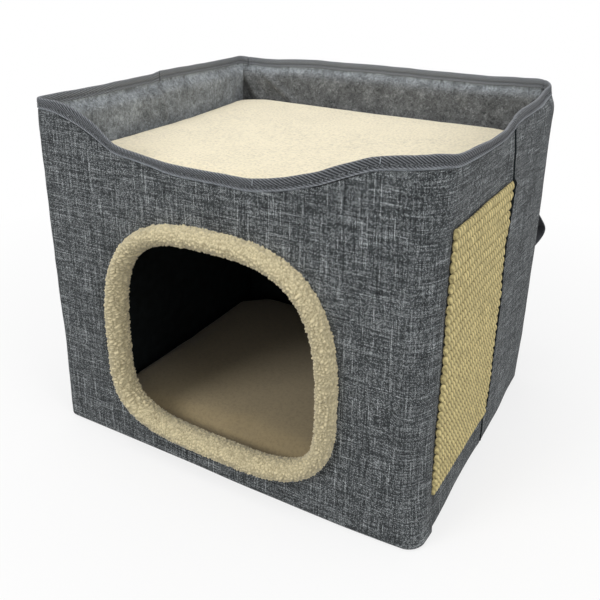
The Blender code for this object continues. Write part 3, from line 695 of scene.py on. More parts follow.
def felt_material():
    """Needle-punched polyester felt, 1.5 mm thick: matted grey fibres with darker and lighter tufts."""
    material, tree = start_material("needle_felt", 0.97, sheen=0.25)
    place = add_node(tree, "TexCoord", out="Object")
    # Fibre clumps are 2 to 5 mm wide, and single fibres are drawn as 0.9 mm specks.
    matted = {"Vector": place, "Scale": 290.0, "Detail": 4.0, "Roughness": 0.74, "Distortion": 1.0}
    clump = add_node(tree, "TexNoise", matted)
    cloud = add_node(tree, "TexNoise", {"Vector": place, "Scale": 70.0, "Detail": 2.0})
    tone = add_node(tree, "Math", (cloud, 0.40, clump), operation="MULTIPLY_ADD")
    look = colours()
    body = shades(look.felt, (0.50, 0.34), (0.66, 0.84), (0.76, 1.15), (0.90, 2.1))
    upper = shades(look.felt_painted_highlight, (0.50, 0.34), (0.68, 0.85), (0.90, 1.7))
    tufts = [add_node(tree, "ValToRGB", (tone,), stops=stops) for stops in (body, upper)]
    # The second ramp is a lit copy of the felt. Where the stored value says so, on the upper edge that faces up
    # over the boards and on the left wall, the felt is painted paler with it, as painted highlight.
    edge = add_node(tree, "Attribute", out="Fac", attribute_name="relief_and_painted_light")
    blend = add_node(tree, "Mix", {0: edge, 6: tufts[0], 7: tufts[1]}, 2, data_type="RGBA")
    lay_surface(tree, blend, (), clump, 0.8, 0.0012)
    return material


def black_cloth_material():
    """Spun-bonded polypropylene, pressed in small dots: thin matt black cloth."""
    material, tree = start_material("spun_bonded_cloth", 0.95)
    place = add_node(tree, "TexCoord", out="Object")
    dots = add_node(tree, "TexVoronoi", {"Vector": place, "Scale": 520.0}, feature="F1")
    cloud = add_node(tree, "TexNoise", {"Vector": place, "Scale": 90.0, "Detail": 3.0})
    lay_surface(tree, cloud, shades(colours().black_cloth, (0.3, 0.7), (0.7, 1.4)), dots, 0.4, 0.0003)
    return material


def fleece_material(name, colour, size, contrast, depth):
    """Short brushed polyester pile: warm, matt and soft, with a fine uneven nap."""
    material, tree = start_material(name, 1.0, sheen=0.35, sheen_roughness=0.6)
    place = add_node(tree, "TexCoord", out="Object")
    nap = add_node(tree, "TexNoise", {"Vector": place, "Scale": 1 / size, "Detail": 3.0, "Roughness": 0.7})
    cloud = add_node(tree, "TexNoise", {"Vector": place, "Scale": 30.0, "Detail": 2.0})
    tone = add_node(tree, "Math", (cloud, 0.2, nap), operation="MULTIPLY_ADD")
    stops = shades(colour, (0.42, 1 - contrast), (0.61, 1.0), (0.85, 1 + contrast * 0.5))
    lay_surface(tree, tone, stops, nap, 0.5, depth)
    return material


def relief_material(name, colour, darkest, lightest, warm, speck_size, speck, roughness, sheen):
    """A pile or rope whose mesh stores its own height, which is painted on as light: paler crowns as painted
    highlight and darker creases as painted shade.
    """
    material, tree = start_material(name, roughness, sheen=sheen)
    relief_and_painted_light = add_node(tree, "Attribute", out="Fac", attribute_name="relief_and_painted_light")
    place = add_node(tree, "TexCoord", out="Object")
    fine = add_node(tree, "TexNoise", {"Vector": place, "Scale": 1 / speck_size, "Detail": 2.0, "Roughness": 0.7})
    fine = add_node(tree, "Math", (fine, speck, -speck / 2), operation="MULTIPLY_ADD")
    tone = add_node(tree, "Math", (relief_and_painted_light, fine), operation="ADD")
    # The lowest stop is a darker, tinted copy of the colour, painted shade in the creases; the top stop is
    # painted highlight on the crowns.
    crease = (0.0, [darkest * channel * share for channel, share in zip(colour, warm)])
    stops = [crease, *shades(colour, (0.30, (darkest + 1) / 2), (0.64, 1.0), (1.0, lightest))]
    lay_surface(tree, tone, stops, fine, 0.7, 0.0006)
    return material


def plain_material(name, colour, roughness, scale, contrast):
    """Boards, card, thread and hook tape: one colour with the grain of how it was pressed or woven."""
    material, tree = start_material(name, roughness)
    place = add_node(tree, "TexCoord", out="Object")
    grain = add_node(tree, "TexNoise", {"Vector": place, "Scale": scale, "Detail": 4.0, "Roughness": 0.7})
    lay_surface(tree, grain, shades(colour, (0.3, 1 - contrast), (0.7, 1 + contrast)), grain, 0.4, 0.0004)
    return material


def webbing_material():
    """Polypropylene webbing, woven with ribs across its width every 1.6 mm."""
    material, tree = start_material("ribbed_webbing", 0.7, sheen=0.1)
    uv = add_node(tree, "TexCoord", out="UV")
    # The wave turns once in 2 pi / 20 of its scale.
    ribs_apart = 0.0016
    woven = {"Vector": uv, "Scale": 2 * math.pi / ribs_apart / 20}
    woven |= {"Distortion": 0.6, "Detail": 1.0, "Detail Scale": 3.0}
    ribs = add_node(tree, "TexWave", woven, "Fac", wave_type="BANDS", bands_direction="Y")
    lay_surface(tree, ribs, shades(colours().webbing, (0.1, 0.55), (0.9, 1.25)), ribs, 0.6, 0.0004)
    return material


FINISHES = {}


def finish(name):
    """Each finish is made once, the first time that a piece asks for it."""
    c = colours()
    grey_thread, pale_thread = shades(c.tape, (0, 0.8))[0][1], shades(c.felt_painted_highlight, (0, 1.4))[0][1]
    # Tints of the painted shade in the sherpa's and the sisal's creases.
    cream_shade_tint, straw_shade_tint = (1.0, 0.95, 0.86), (1.0, 0.90, 0.66)
    looks = {
        "linen": (linen_material,),
        "tape": (tape_material,),
        "felt": (felt_material,),
        "black": (black_cloth_material,),
        "webbing": (webbing_material,),
        "fleece": (fleece_material, "short_fleece", c.fleece, 0.0028, 0.24, 0.0022),
        "suede": (fleece_material, "brushed_suede", c.suede, 0.0030, 0.16, 0.0005),
        "sherpa": (relief_material, "curly_sherpa", c.sherpa, 0.46, 1.16, cream_shade_tint, 0.0011, 0.40, 1.0, 0.30),
        "sisal": (relief_material, "twisted_sisal", c.sisal, 0.26, 1.50, straw_shade_tint, 0.0009, 0.90, 0.9, 0.05),
        "board": (plain_material, "pressed_hardboard", c.board, 0.8, 260.0, 0.18),
        "card": (plain_material, "grey_card", c.card, 0.85, 400.0, 0.10),
        "hook": (plain_material, "hook_tape", c.hook, 0.8, 900.0, 0.35),
        "thread": (plain_material, "sewing_thread", grey_thread, 0.7, 900.0, 0.20),
        "pale_thread": (plain_material, "pale_sewing_thread", pale_thread, 0.7, 900.0, 0.15),
    }
    if name not in FINISHES:
        maker, *numbers = looks[name]
        FINISHES[name] = maker(*numbers)
    return FINISHES[name]


# The pieces.

# The covers' mesh: its spacing, and where it is crowded, as place, reach to each side and spacing.
SKIN_STEP = 0.0038
SKIN_SPOTS = (
    (FRONT_RIGHT, 0.034, 0.0012),
    *((fold, 0.0036, 0.0004) for fold in (RIGHT_CREASE, LEFT_FOLD)),
    *((fold, 0.012, 0.0010) for fold in (RIGHT_CREASE, LEFT_FOLD)),
    *((corner, 0.013, 0.0010) for corner in (BACK_RIGHT, BACK_LEFT, FRONT_LEFT, FRONT_LEFT - PERIMETER)),
)


def cover_strip(name, start, end, nodes, seams, door=False):
    """One strip of the outer cover, from its turn under the base up to the tape."""
    foot = sizes().foot_round
    s = stations(start, end, SKIN_STEP, SKIN_SPOTS)
    turn = np.linspace(0, math.pi / 2, 7)[:-1]
    share = np.linspace(0, 1, 88)
    # The hem is the tape's lower edge, and the cover runs on under it nearly to the rim.
    hem, hidden_top = rim_top(s) - rim_drop(s), rim_top(s) - 0.0024
    # The plain wall's rows end this far below the hem, and the crowded ones lie round it.
    plain_below = 0.0045
    near_hem = np.array([-0.0036, -0.0028, -0.0020, -0.0014, -0.0009, -0.0004, 0.0002, 0.0014, 0.0040])
    # Rows of the turn under the base, of the plain wall, round the hem and at the hidden top.
    rows = [
        np.repeat((foot * (1 - np.cos(turn)))[:, None], len(s), axis=1),
        foot + share[:, None] * (hem - plain_below - foot)[None, :],
        hem[None, :] + near_hem[:, None],
        hidden_top[None, :],
    ]
    z = np.vstack(rows)
    tuck = np.concatenate([foot * (1 - np.sin(turn)), np.zeros(len(z) - len(turn))])[:, None]
    grid_s = np.repeat(s[None, :], len(z), axis=0)
    # Painted shade: the cover is painted darker in a thin line just under the tape's hem and along the right
    # crease, where shade falls. Under the hem it is also pressed in a little.
    under_tape = ridge(z, hem[None, :] - 0.0007, 0.0007)
    crease_shade_mask = ridge(grid_s, RIGHT_CREASE, 0.0012)
    points = wall_point(grid_s, z, tuck + 0.0005 * under_tape, seams=seams)
    painted_shade = (1 - 0.80 * under_tape) * (1 - 0.80 * crease_shade_mask)
    uv = np.stack([grid_s, np.maximum(z, 0) + tuck * 0.6], axis=-1)
    keep = outside_door(grid_s, z) if door else None
    piece = grid_piece(name, points, uv, finish("linen"), keep, relief_and_painted_light=painted_shade)
    thicken(piece, FABRIC)
    finish_piece(piece, "house", "linen_fabric", *nodes)


class CATHOUSE_OT_outer_cover(Operator):
    """Sew the outer cover: front with the right front half, right rear, back, left and bottom"""

    bl_idname = "cat_house.outer_cover"
    bl_label = "Outer cover"

    def execute(self, context):
        left, right, back = FRONT_LEFT - PERIMETER - 0.012, BACK_RIGHT + 0.011, BACK_LEFT + 0.012
        around = left + PERIMETER
        front = ("front_cover", "right_cover")
        cover_strip("front_cover_fabric", left, RIGHT_CREASE, front, (left,), door=True)
        cover_strip("right_rear_cover_fabric", RIGHT_CREASE, right, ("right_cover",), (right,))
        cover_strip("back_cover_fabric", right, back, ("back_cover",), (right, back))
        cover_strip("left_cover_fabric", back, around, ("left_cover",), (back, around))
        self.bottom()
        self.fold_shadow_strip()
        return {"FINISHED"}

    def fold_shadow_strip(self):
        """A strip of black cloth sewn into the right wall's fold, higher beside the pad: a dark sheet that stands
        in for the fold's shadow, as painted shadow.
        """
        half_width, thick = 0.0010, 0.0003
        z = np.linspace(0.004, 0.3455, 150)
        across = np.linspace(-1, 1, 9)[:, None]
        # Beside the pad the strip stands higher, with scalloped edges, as the painted shadow behind the pad's
        # rear edge.
        beside_pad = soft_share(z, 0.045, 0.051) * soft_share(z, 0.302, 0.296)
        height = 0.0010 + (0.0026 + 0.0006 * np.abs(np.sin(math.pi * z / 0.0091))) * beside_pad
        wander = 0.0007 * np.sin(z / 0.024 + 1.0)
        grid_s = RIGHT_CREASE + across * half_width + wander[None, :]
        grid_z = np.broadcast_to(z[None, :], grid_s.shape)
        base = wall_point(RIGHT_CREASE - 0.0016 + 0 * grid_s, grid_z, 0.0, seams=None)
        points = wall_point(grid_s, grid_z, 0.0, follow=0.0, seams=None)
        # The cloth's root lies between the boards, and runs out before it reaches the felt under the tape.
        root = 0.0060 - 0.0052 * soft_share(z, 0.295, 0.325)[None, :]
        points[..., 0] = base[..., 0] - root + (root + height[None, :]) * np.sqrt(1 - across**2)
        piece = grid_piece("right_fold_shadow_strip", points, np.stack([grid_s, grid_z], axis=-1), finish("black"))
        thicken(piece, thick, 1.0)
        finish_piece(piece, "house", "black_nonwoven")

    def bottom(self):
        """The base panel, drawn up a little in its middle between the turned edges."""
        s = stations(-HALF_W, PERIMETER - HALF_W, 0.006, SKIN_SPOTS)[:-1]
        edge = wall_point(s, 0 * s, sizes().foot_round - 0.0006)
        share = np.array([1.0, 0.985, 0.96, 0.92, 0.86, 0.78, 0.68, 0.56, 0.42, 0.28, 0.14, 0.02])
        points = edge[None, :, :] * share[:, None, None]
        points[..., 2] = 0.0003 + 0.0006 * soft_share(share, 1, 0.9)[:, None]
        points[..., 2] += 0.0005 * soft_noise(points, 0.05, 9)
        flat, even = points[..., :2], np.ones(points.shape[:2])
        piece = grid_piece("bottom_cover_fabric", points, flat, finish("linen"), close_columns=True, relief_and_painted_light=even)
        finish_piece(piece, "house", "linen_fabric", "bottom_cover")


def wall_layer(name, start, end, foot, top, depth, step, thick, finishing, node, bulge=None, painted_highlight_share=None):
    """One layer inside the wall, from depth below the outer face, with the door cut out of the front."""
    s = stations(start, end, step)
    share = np.linspace(0, 1, int((HEIGHT - foot) / step))
    head = top(s)
    z = foot + share[:, None] * (head - foot)[None, :]
    grid_s = np.repeat(s[None, :], len(z), axis=0)
    points = wall_point(grid_s, z, depth + (bulge(grid_s, z, head[None, :]) if bulge else 0.0), seams=None)
    keep = outside_door(grid_s, z) if node in ("front_board", "front_cabin_lining") else None
    # Where a painted highlight share is given, the lining is painted with the felt's lit colour near the rim, and
    # by that share lower down: painted highlight.
    relief_and_painted_light = None
    if painted_highlight_share is not None:
        relief_and_painted_light = 1 - (1 - painted_highlight_share) * soft_share(rim_top(grid_s) - z, 0.0120, 0.0230)
    material, slot = finishing
    piece = grid_piece(name, points, np.stack([grid_s, z], axis=-1), finish(material), keep, relief_and_painted_light=relief_and_painted_light)
    finish_piece(piece, "house", slot, node)
    thicken(piece, thick)
    return piece


class CATHOUSE_OT_wall_boards(Operator):
    """Cut the stiff boards that stand inside the walls"""

    bl_idname = "cat_house.wall_boards"
    bl_label = "Wall boards"

    def execute(self, context):
        soft, tight, hinge = sizes().soft_corner * 1.12, sizes().corner + 0.001, 0.0032
        plans = (
            ("front_board", -HALF_W + tight, HALF_W - soft),
            ("right_front_board", FRONT_RIGHT + soft, RIGHT_FOLD - hinge),
            ("right_rear_board", RIGHT_CREASE + hinge, BACK_RIGHT - tight),
            ("back_board", BACK_RIGHT + tight, BACK_LEFT - tight),
            ("left_rear_board", BACK_LEFT + tight, LEFT_FOLD - hinge),
            ("left_front_board", LEFT_FOLD + hinge, FRONT_LEFT - tight),
        )
        for node, start, end in plans:
            span, inside = (start, end, BOARD_FOOT, lambda s: rim_top(s) - BOARD_BELOW_RIM), FABRIC + GAP
            wall_layer(f"{node}_panel", *span, inside, 0.006, BOARD - GAP, ("board", "hardboard"), node)
        return {"FINISHED"}


# Creases of the felt: corner, place from it and height at both ends, half width and rise, in millimetres.
FELT_CREASES = (
    ((BACK_LEFT, 198, 352), (BACK_LEFT, 186, 296), 2.6, -1.2),
    ((BACK_LEFT, 190, 358), (BACK_LEFT, 172, 306), 3.4, 3.6),
    ((BACK_LEFT, -14, 362), (BACK_LEFT, -98, 304), 3.4, 3.8),
    ((BACK_LEFT, -12, 350), (BACK_LEFT, -64, 298), 3.0, -1.2),
    ((BACK_LEFT, -8, 344), (BACK_LEFT, -42, 296), 3.6, 3.0),
    ((BACK_LEFT, 2, 356), (BACK_LEFT, 3, 296), 3.4, -1.0),
    ((BACK_LEFT, 24, 352), (BACK_LEFT, 46, 292), 4.0, 2.4),
    ((BACK_RIGHT, 120, 352), (BACK_RIGHT, 90, 300), 5.0, -1.0),
    ((BACK_RIGHT, 210, 350), (BACK_RIGHT, 226, 300), 6.0, 1.8),
)


def crease_line(s, z, start, end, width, depth):
    """A straight crease in a lining between two places of (distance along the walls, height)."""
    run = np.array([end[0] - start[0], end[1] - start[1]])
    length = np.linalg.norm(run)
    along = ((s - start[0]) * run[0] + (z - start[1]) * run[1]) / length**2
    aside = ((s - start[0]) * run[1] - (z - start[1]) * run[0]) / length
    fade = soft_share(along, 0, 0.15) * soft_share(along, 1, 0.85)
    return depth * ridge(aside, 0, width) * fade


def felt_bulge(s, z, head):
    """How far in the felt lies: over the boards' top edge, down behind it, and creased where it is loose."""
    below = head - z
    # How far the felt comes out over the boards' edge under the tape, and bulges and waves inwards below it.
    full, bulge, waves = LINING_DEPTH - 0.0003, 0.0018, 0.0024
    inward = -full * soft_share(below, 0.0195, 0.0080)
    inward = inward + bulge * soft_share(below, 0.012, 0.024) * soft_share(z, 0.262, 0.292)
    ripple = soft_noise(np.stack([s, z * 0.6, 0 * s], axis=-1), 0.030, 21) - 0.5
    inward = inward + waves * ripple * soft_share(below, 0.012, 0.032)
    loose = soft_share(below, 0.0085, 0.0145)
    for start, end, width, height in FELT_CREASES:
        place = [(corner + along / 1000, up / 1000) for corner, along, up in (start, end)]
        inward = inward + crease_line(s, z, *place, width / 1000, height / 1000) * loose
    return inward


def cabin_bulge(s, z, head):
    """How far in the cabin's cloth hangs."""
    return 0.0010 * soft_noise(np.stack([s, z, 0 * s], axis=-1), 0.045, 33)


class CATHOUSE_OT_linings(Operator):
    """Line the tray with felt and the cabin with black cloth"""

    bl_idname = "cat_house.linings"
    bl_label = "Linings"

    def execute(self, context):
        self.line("front", FRONT_LEFT - PERIMETER, FRONT_RIGHT, FELT_DIP_AREA, DOOR_AREA)
        self.line("right", FRONT_RIGHT, BACK_RIGHT)
        self.line("back", BACK_RIGHT, BACK_LEFT)
        # The left wall's felt is painted paler than the others all over, as painted highlight where more light
        # falls on it.
        self.line("left", BACK_LEFT, FRONT_LEFT, painted_highlight_share=0.65)
        return {"FINISHED"}

    def line(self, side, start, end, felt_cut=0.0, cloth_cut=0.0, painted_highlight_share=0.0):
        """The felt of one tray wall and the cloth of the cabin wall below it, with the door cut out of the front
        cloth.
        """
        span = (f"{side}_felt_lining", start, end, FELT_FOOT, lambda s: rim_top(s) - FELT_BELOW_RIM)
        looks = ("felt", "grey_felt"), f"{side}_felt", felt_bulge
        piece = wall_layer(*span, LINING_DEPTH, 0.0022, FELT, *looks, painted_highlight_share)
        top = FELT_FOOT - 0.0004
        span = (f"{side}_cabin_cloth", start, end, LINING_FOOT + 0.0006, lambda s: np.full(len(s), top))
        looks = ("black", "black_nonwoven"), f"{side}_cabin_lining", cabin_bulge
        piece = wall_layer(*span, LINING_DEPTH, 0.0045, CABIN_FABRIC, *looks)


class CATHOUSE_OT_rim_tape(Operator):
    """Fold and stitch the twill tape over the rim"""

    bl_idname = "cat_house.rim_tape"
    bl_label = "Rim tape"

    def execute(self, context):
        tape = sizes().tape
        # Depth, fall and share of the drop, up the outside, over the crown and down the inside.
        leg = (1.0, 0.95, 0.90, 0.80, 0.74, 0.70, 0.66, 0.60, 0.45, 0.30)
        set_in = (-0.3, -0.2, 0.0, 0.0, 0.35, 0.75, 0.35, 0.0, -0.1, -0.1)
        outside = [(-0.0003 + inward / 1000, 0.0, share) for share, inward in zip(leg, set_in)]
        crown = []
        for angle in np.linspace(0, math.pi, 11):
            fall = tape + 0.0019 * (1 - math.sin(angle) ** 0.8)
            crown.append((0.0011 - 0.0014 * math.cos(angle), fall, 0.0))
        inside = [(0.0022 - depth, fall, share) for depth, fall, share in outside[::-1]]
        section = np.array(outside + crown + inside)
        joins = ((LEFT_FOLD + 0.0020, 1.0), (BACK_LEFT - 0.0120, 0.7), (BACK_RIGHT + 0.011, 0.3))
        s = stations(-HALF_W, PERIMETER - HALF_W, 0.0021, [(place, 0.004, 0.0004) for place, _ in joins])
        points = self.tape_point(s[None, :], section[:, :1], section[:, 1:2], section[:, 2:3])
        shadow = np.ones(points.shape[:2])
        for place, strength in joins:
            near = ridge(s, place, 0.0008) * strength
            shadow = shadow * (1 - 0.85 * near[None, :])
            points[..., 2] -= 0.0012 * near[None, :]
        path = run_length(section[:, 0], section[:, 1] + section[:, 2] * sizes().tape_drop)
        uv = np.stack(np.broadcast_arrays(s[None, :], path[:, None]), axis=-1)
        points, uv, shadow = (np.concatenate([a, a[:, :1]], axis=1)[::-1] for a in (points, uv, shadow))
        uv[:, -1, 0] += PERIMETER
        piece = grid_piece("rim_tape", points, uv, finish("tape"), relief_and_painted_light=shadow)
        thicken(piece, tape, 1.0)
        finish_piece(piece, "house", "twill_tape", "rim_binding")
        self.stitches()
        return {"FINISHED"}

    def tape_point(self, s, depth, fall, share):
        """A point of the tape: a depth in the wall, and a fall from the top plus a share of the drop."""
        wander = 0.0005 * (soft_noise(np.stack([s, 0 * s, 0 * s], axis=-1), 0.018, 41) - 0.5)
        z = rim_top(s) + wander - fall - share * rim_drop(s)
        lean = along_rim(s, 3) * (1 - share)
        return wall_point(s + 0 * z, z, depth - lean, seams=None)

    def stitches(self):
        """Stitches that lie in the tape's groove outside and inside, and two pale tacks on the front."""
        pitch, length = 0.0036, 0.0026
        run = np.arange(-HALF_W, PERIMETER - HALF_W - pitch, pitch)
        along = run[:, None] + length * np.array([-0.5, -0.3, 0.3, 0.5])[None, :]
        groove, outer, inner = 0.70, -0.0005, 0.0027
        spans = [(self.tape_point(along, depth, 0.0, groove), side) for side, depth in ((1, outer), (-1, inner))]
        self.threads("rim_stitches", spans, 0.00024, finish("thread"))
        tacks = np.array([0.0411, 0.1585])[:, None] + 0.0003 * np.array([-1, -0.6, 0.6, 1])[None, :]
        share = np.array([0.62, 0.56, 0.20, 0.12])[None, :]
        spans = [(self.tape_point(tacks, -0.0011, 0.0, share), 1)]
        self.threads("rim_tacks", spans, 0.0003, finish("pale_thread"))

    def threads(self, name, spans, radius, material):
        """Short tapered threads through rows of four points."""
        sides = 6
        ring = np.linspace(0, 2 * math.pi, sides + 1)[:-1]
        thick = radius * np.array([0.25, 1.0, 1.0, 0.25])
        verts, faces = [], []
        for rows, side in spans:
            ahead = rows[:, 3] - rows[:, 0]
            out = np.stack([ahead[:, 1], -ahead[:, 0], 0 * ahead[:, 0]], axis=-1) * side
            flat = np.linalg.norm(out, axis=-1, keepdims=True)
            out = np.where(flat > 1e-9, out / np.maximum(flat, 1e-9), np.array([0, -1.0, 0]))
            up = np.cross(ahead / np.linalg.norm(ahead, axis=-1, keepdims=True), out)
            for centres, away, over in zip(rows, out, up):
                base = len(verts)
                round_it = [away * math.cos(angle) + over * math.sin(angle) for angle in ring]
                for centre, size in zip(centres, thick):
                    verts.extend((centre + size * aside).tolist() for aside in round_it)
                for start in (base, base + sides, base + 2 * sides):
                    for j in range(sides):
                        a, b = start + j, start + (j + 1) % sides
                        faces.append((a, b, b + sides, a + sides))
                faces.append(tuple(base + j for j in reversed(range(sides))))
                faces.append(tuple(base + 3 * sides + j for j in range(sides)))
        mesh = bpy.data.meshes.new(name)
        mesh.from_pydata(verts, [], faces)
        finish_piece(new_piece(name, mesh, material), "house", "twill_tape")


class CATHOUSE_OT_door_roll(Operator):
    """Stuff the sherpa roll round the door"""

    bl_idname = "cat_house.door_roll"
    bl_label = "Door roll"

    def execute(self, context):
        around, ring = ((860, 84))
        x, z, out, run = door_path(around)
        face = wall_point(x, z, 0.0, seams=None)[..., 1]
        turn = np.arange(ring) * 2 * math.pi / ring
        swell = 1 + 0.05 * (soft_noise(np.stack([x, z, 0 * x], axis=-1), 0.05, 51) - 0.5)
        # The roll's core lies under the curls and is pressed a little into the wall.
        under, pressed = 0.0006, 0.0030
        wide = (ROLL_HALF_WIDTH - under) * swell
        deep = ROLL_HALF_DEPTH - under
        cos, sin = np.cos(turn)[:, None], np.sin(turn)[:, None]
        away_x, away_z = out[None, :, 0], out[None, :, 1]
        drawn = (x + away_x * wide * cos, face - pressed + deep * sin, z + away_z * wide * cos)
        points = np.stack(drawn, axis=-1)
        lean = np.broadcast_to(sin / ROLL_HALF_DEPTH, (ring, around))
        normal = np.stack([away_x * cos / ROLL_HALF_WIDTH, lean, away_z * cos / ROLL_HALF_WIDTH], axis=-1)
        normal = normal / np.linalg.norm(normal, axis=-1, keepdims=True)
        curl, height = sizes().curl, sizes().curl_height
        # The curls on the left lie drawn out, as the pile is brushed there.
        left = soft_share(x, -0.05, -0.10)[None, :, None]
        stretched = points + (soft_noise(points, 0.006, 61)[..., None] - 0.5) * 0.004
        squeeze = np.concatenate([1 - 0.45 * left, 1 - 0.45 * left, 1 + 0.1 * left], axis=-1)
        lumps, small = pebbles(stretched * squeeze, curl, 71), pebbles(points + 0.3, curl * 0.55, 83)
        # The curls' height raises the mesh, and the finish also paints it as paler crowns and darker creases:
        # painted highlight and painted shade.
        relief_and_painted_light = np.clip(0.70 * lumps**0.8 + 0.30 * small, 0, 1)
        points = points + normal * (height * (relief_and_painted_light - 0.35))[..., None]
        uv = np.stack(np.broadcast_arrays(run[None, :], turn[:, None] * 0.012), axis=-1)
        closed = {"close_rows": True, "close_columns": True}
        piece = grid_piece("sherpa_door_roll", points, uv, finish("sherpa"), relief_and_painted_light=relief_and_painted_light, **closed)
        finish_piece(piece, "house", "sherpa", "door_roll")
        return {"FINISHED"}


def blown_up(name, low, high, crown, material, cap, corner, heap=0.0):
    """A fabric pad: a soft block on a flat base, heaped to the rear, blown up a little as cloth and rounded."""
    half_x, half_y = (high.x - low.x) / 2, (high.y - low.y) / 2
    centre = (low + high) / 2
    shrink, lift, drawn_in, seam_half, seam_at = 0.0014, 0.0010, 0.0030, 0.0022, 0.52
    side = high.z - low.z - crown
    bm = bmesh.new()
    bmesh.ops.create_cube(bm, size=2.0)
    bmesh.ops.subdivide_edges(bm, edges=bm.edges, cuts=23, use_grid_fill=True)
    for vert in bm.verts:
        u, v, w = vert.co
        rise = (w + 1) / 2
        waist = drawn_in * (2 * abs(rise - 0.5)) ** 3
        flat = []
        for own, other, own_half, other_half in ((u, v, half_x, half_y), (v, u, half_y, half_x)):
            past = max(0.0, (abs(other) - 1 + corner / other_half) / (corner / other_half))
            reach = 1 - corner / own_half * (1 - math.sqrt(max(0.0, 1 - past**2)))
            flat.append(own * min(1.0, reach) * (own_half - shrink - waist))
        tall = side - 2 * lift + crown * (1 - u**4) * (1 - v**4) + heap * ((v + 1) / 2) ** 3
        vert.co = (centre.x + flat[0], centre.y + flat[1], low.z + lift + rise * tall)
    pad = new_piece(name, drawn_mesh(name, bm), material)
    remesh = pad.modifiers.new("even_mesh", "REMESH")
    remesh.mode = "VOXEL"
    remesh.voxel_size = sizes().voxel
    pad.data = bpy.data.meshes.new_from_object(pad.evaluated_get(bpy.context.evaluated_depsgraph_get()))
    pad.modifiers.clear()
    inflate(pad, cap)
    co = np.array([v.co for v in pad.data.vertices], float)
    co[:, 2] = np.clip(co[:, 2], low.z, None)
    # The seam half way up draws the sides in.
    near = ridge(co[:, 2], low.z + side * seam_at, seam_half)
    reach = np.maximum(np.abs(co[:, 0] - centre.x) / half_x, np.abs(co[:, 1] - centre.y) / half_y)
    pinch = near * soft_share(reach, 0.93, 0.96) * 0.0016
    flat = co[:, :2] - np.array([centre.x, centre.y])
    co[:, :2] -= flat / np.linalg.norm(flat, axis=1, keepdims=True) * pinch[:, None]
    pad.data.vertices.foreach_set("co", co.ravel())
    pad.data.update()
    rounding = pad.modifiers.new("rounding", "SUBSURF")
    rounding.levels = rounding.render_levels = 1
    pad.data.shade_smooth()
    return pad


def inflate(pad, cap):
    """Blow a pad up as cloth for twenty frames, with no point moved further than the cap."""
    scene = bpy.context.scene
    last = 20
    before = np.array([v.co for v in pad.data.vertices], float)
    cloth = pad.modifiers.new("cloth", "CLOTH")
    settings = cloth.settings
    settings.use_pressure = True
    settings.uniform_pressure_force = 4.0
    settings.effector_weights.gravity = 0.0
    settings.tension_stiffness = settings.compression_stiffness = 25.0
    settings.bending_stiffness = 2.0
    cloth.point_cache.frame_start, cloth.point_cache.frame_end = 1, last
    for number in range(1, last + 1):
        scene.frame_set(number)
    done = pad.evaluated_get(bpy.context.evaluated_depsgraph_get()).to_mesh()
    move = np.array([v.co for v in done.vertices], float) - before
    length = np.linalg.norm(move, axis=1, keepdims=True)
    after = before + move * np.minimum(1.0, cap / np.maximum(length, 1e-9))
    pad.modifiers.clear()
    pad.data.vertices.foreach_set("co", after.ravel())
    scene.frame_set(1)


class CATHOUSE_OT_cushion(Operator):
    """Fill the fleece cushion that lies in the tray"""

    bl_idname = "cat_house.cushion"
    bl_label = "Tray cushion"

    def execute(self, context):
        shape = {"cap": 0.003, "corner": 0.009, "heap": 0.0050}
        pad = blown_up("tray_cushion", CUSHION_LOW, CUSHION_HIGH, 0.0025, finish("fleece"), **shape)
        finish_piece(pad, "cushion", "cream_fleece", "top_cushion")
        return {"FINISHED"}


class CATHOUSE_OT_floor_mat(Operator):
    """Fill the suede-look mat on the cabin floor"""

    bl_idname = "cat_house.floor_mat"
    bl_label = "Floor mat"

    def execute(self, context):
        pad = blown_up("cabin_mat", MAT_LOW, MAT_HIGH, 0.0060, finish("suede"), cap=0.005, corner=0.016)
        finish_piece(pad, "mat", "mat_suede", "floor_mat")
        return {"FINISHED"}


class CATHOUSE_OT_platform(Operator):
    """Wrap the platform, and finish the loose boards"""

    bl_idname = "cat_house.platform"
    bl_label = "Platform and loose boards"

    def execute(self, context):
        low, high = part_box("platform_cover")
        bm = bmesh.new()
        matrix = Matrix.Translation((low + high) / 2) @ Matrix.Diagonal((*(high - low), 1.0))
        bmesh.ops.create_cube(bm, size=1.0, matrix=matrix)
        turned = {"offset": 0.0016, "segments": 3, "affect": "EDGES", "profile": 0.5, "clamp_overlap": True}
        bmesh.ops.bevel(bm, geom=list(bm.edges), **turned)
        bmesh.ops.subdivide_edges(bm, edges=bm.edges, cuts=6, use_grid_fill=True)
        piece = new_piece("platform_wrap", drawn_mesh("platform_wrap", bm), finish("felt"))
        finish_piece(piece, "platform", "grey_felt", "platform_cover", "platform_board")
        loose = {"floor_board": "card", "left_support_board": "black", "right_support_board": "black"}
        for node, material in loose.items():
            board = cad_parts[node]
            board.data.materials.clear()
            board.data.materials.append(finish(material))
            soften(board, 0.0008)
        return {"FINISHED"}


# Length along a rope from one of its three strands to the next.
STRAND = 0.0055


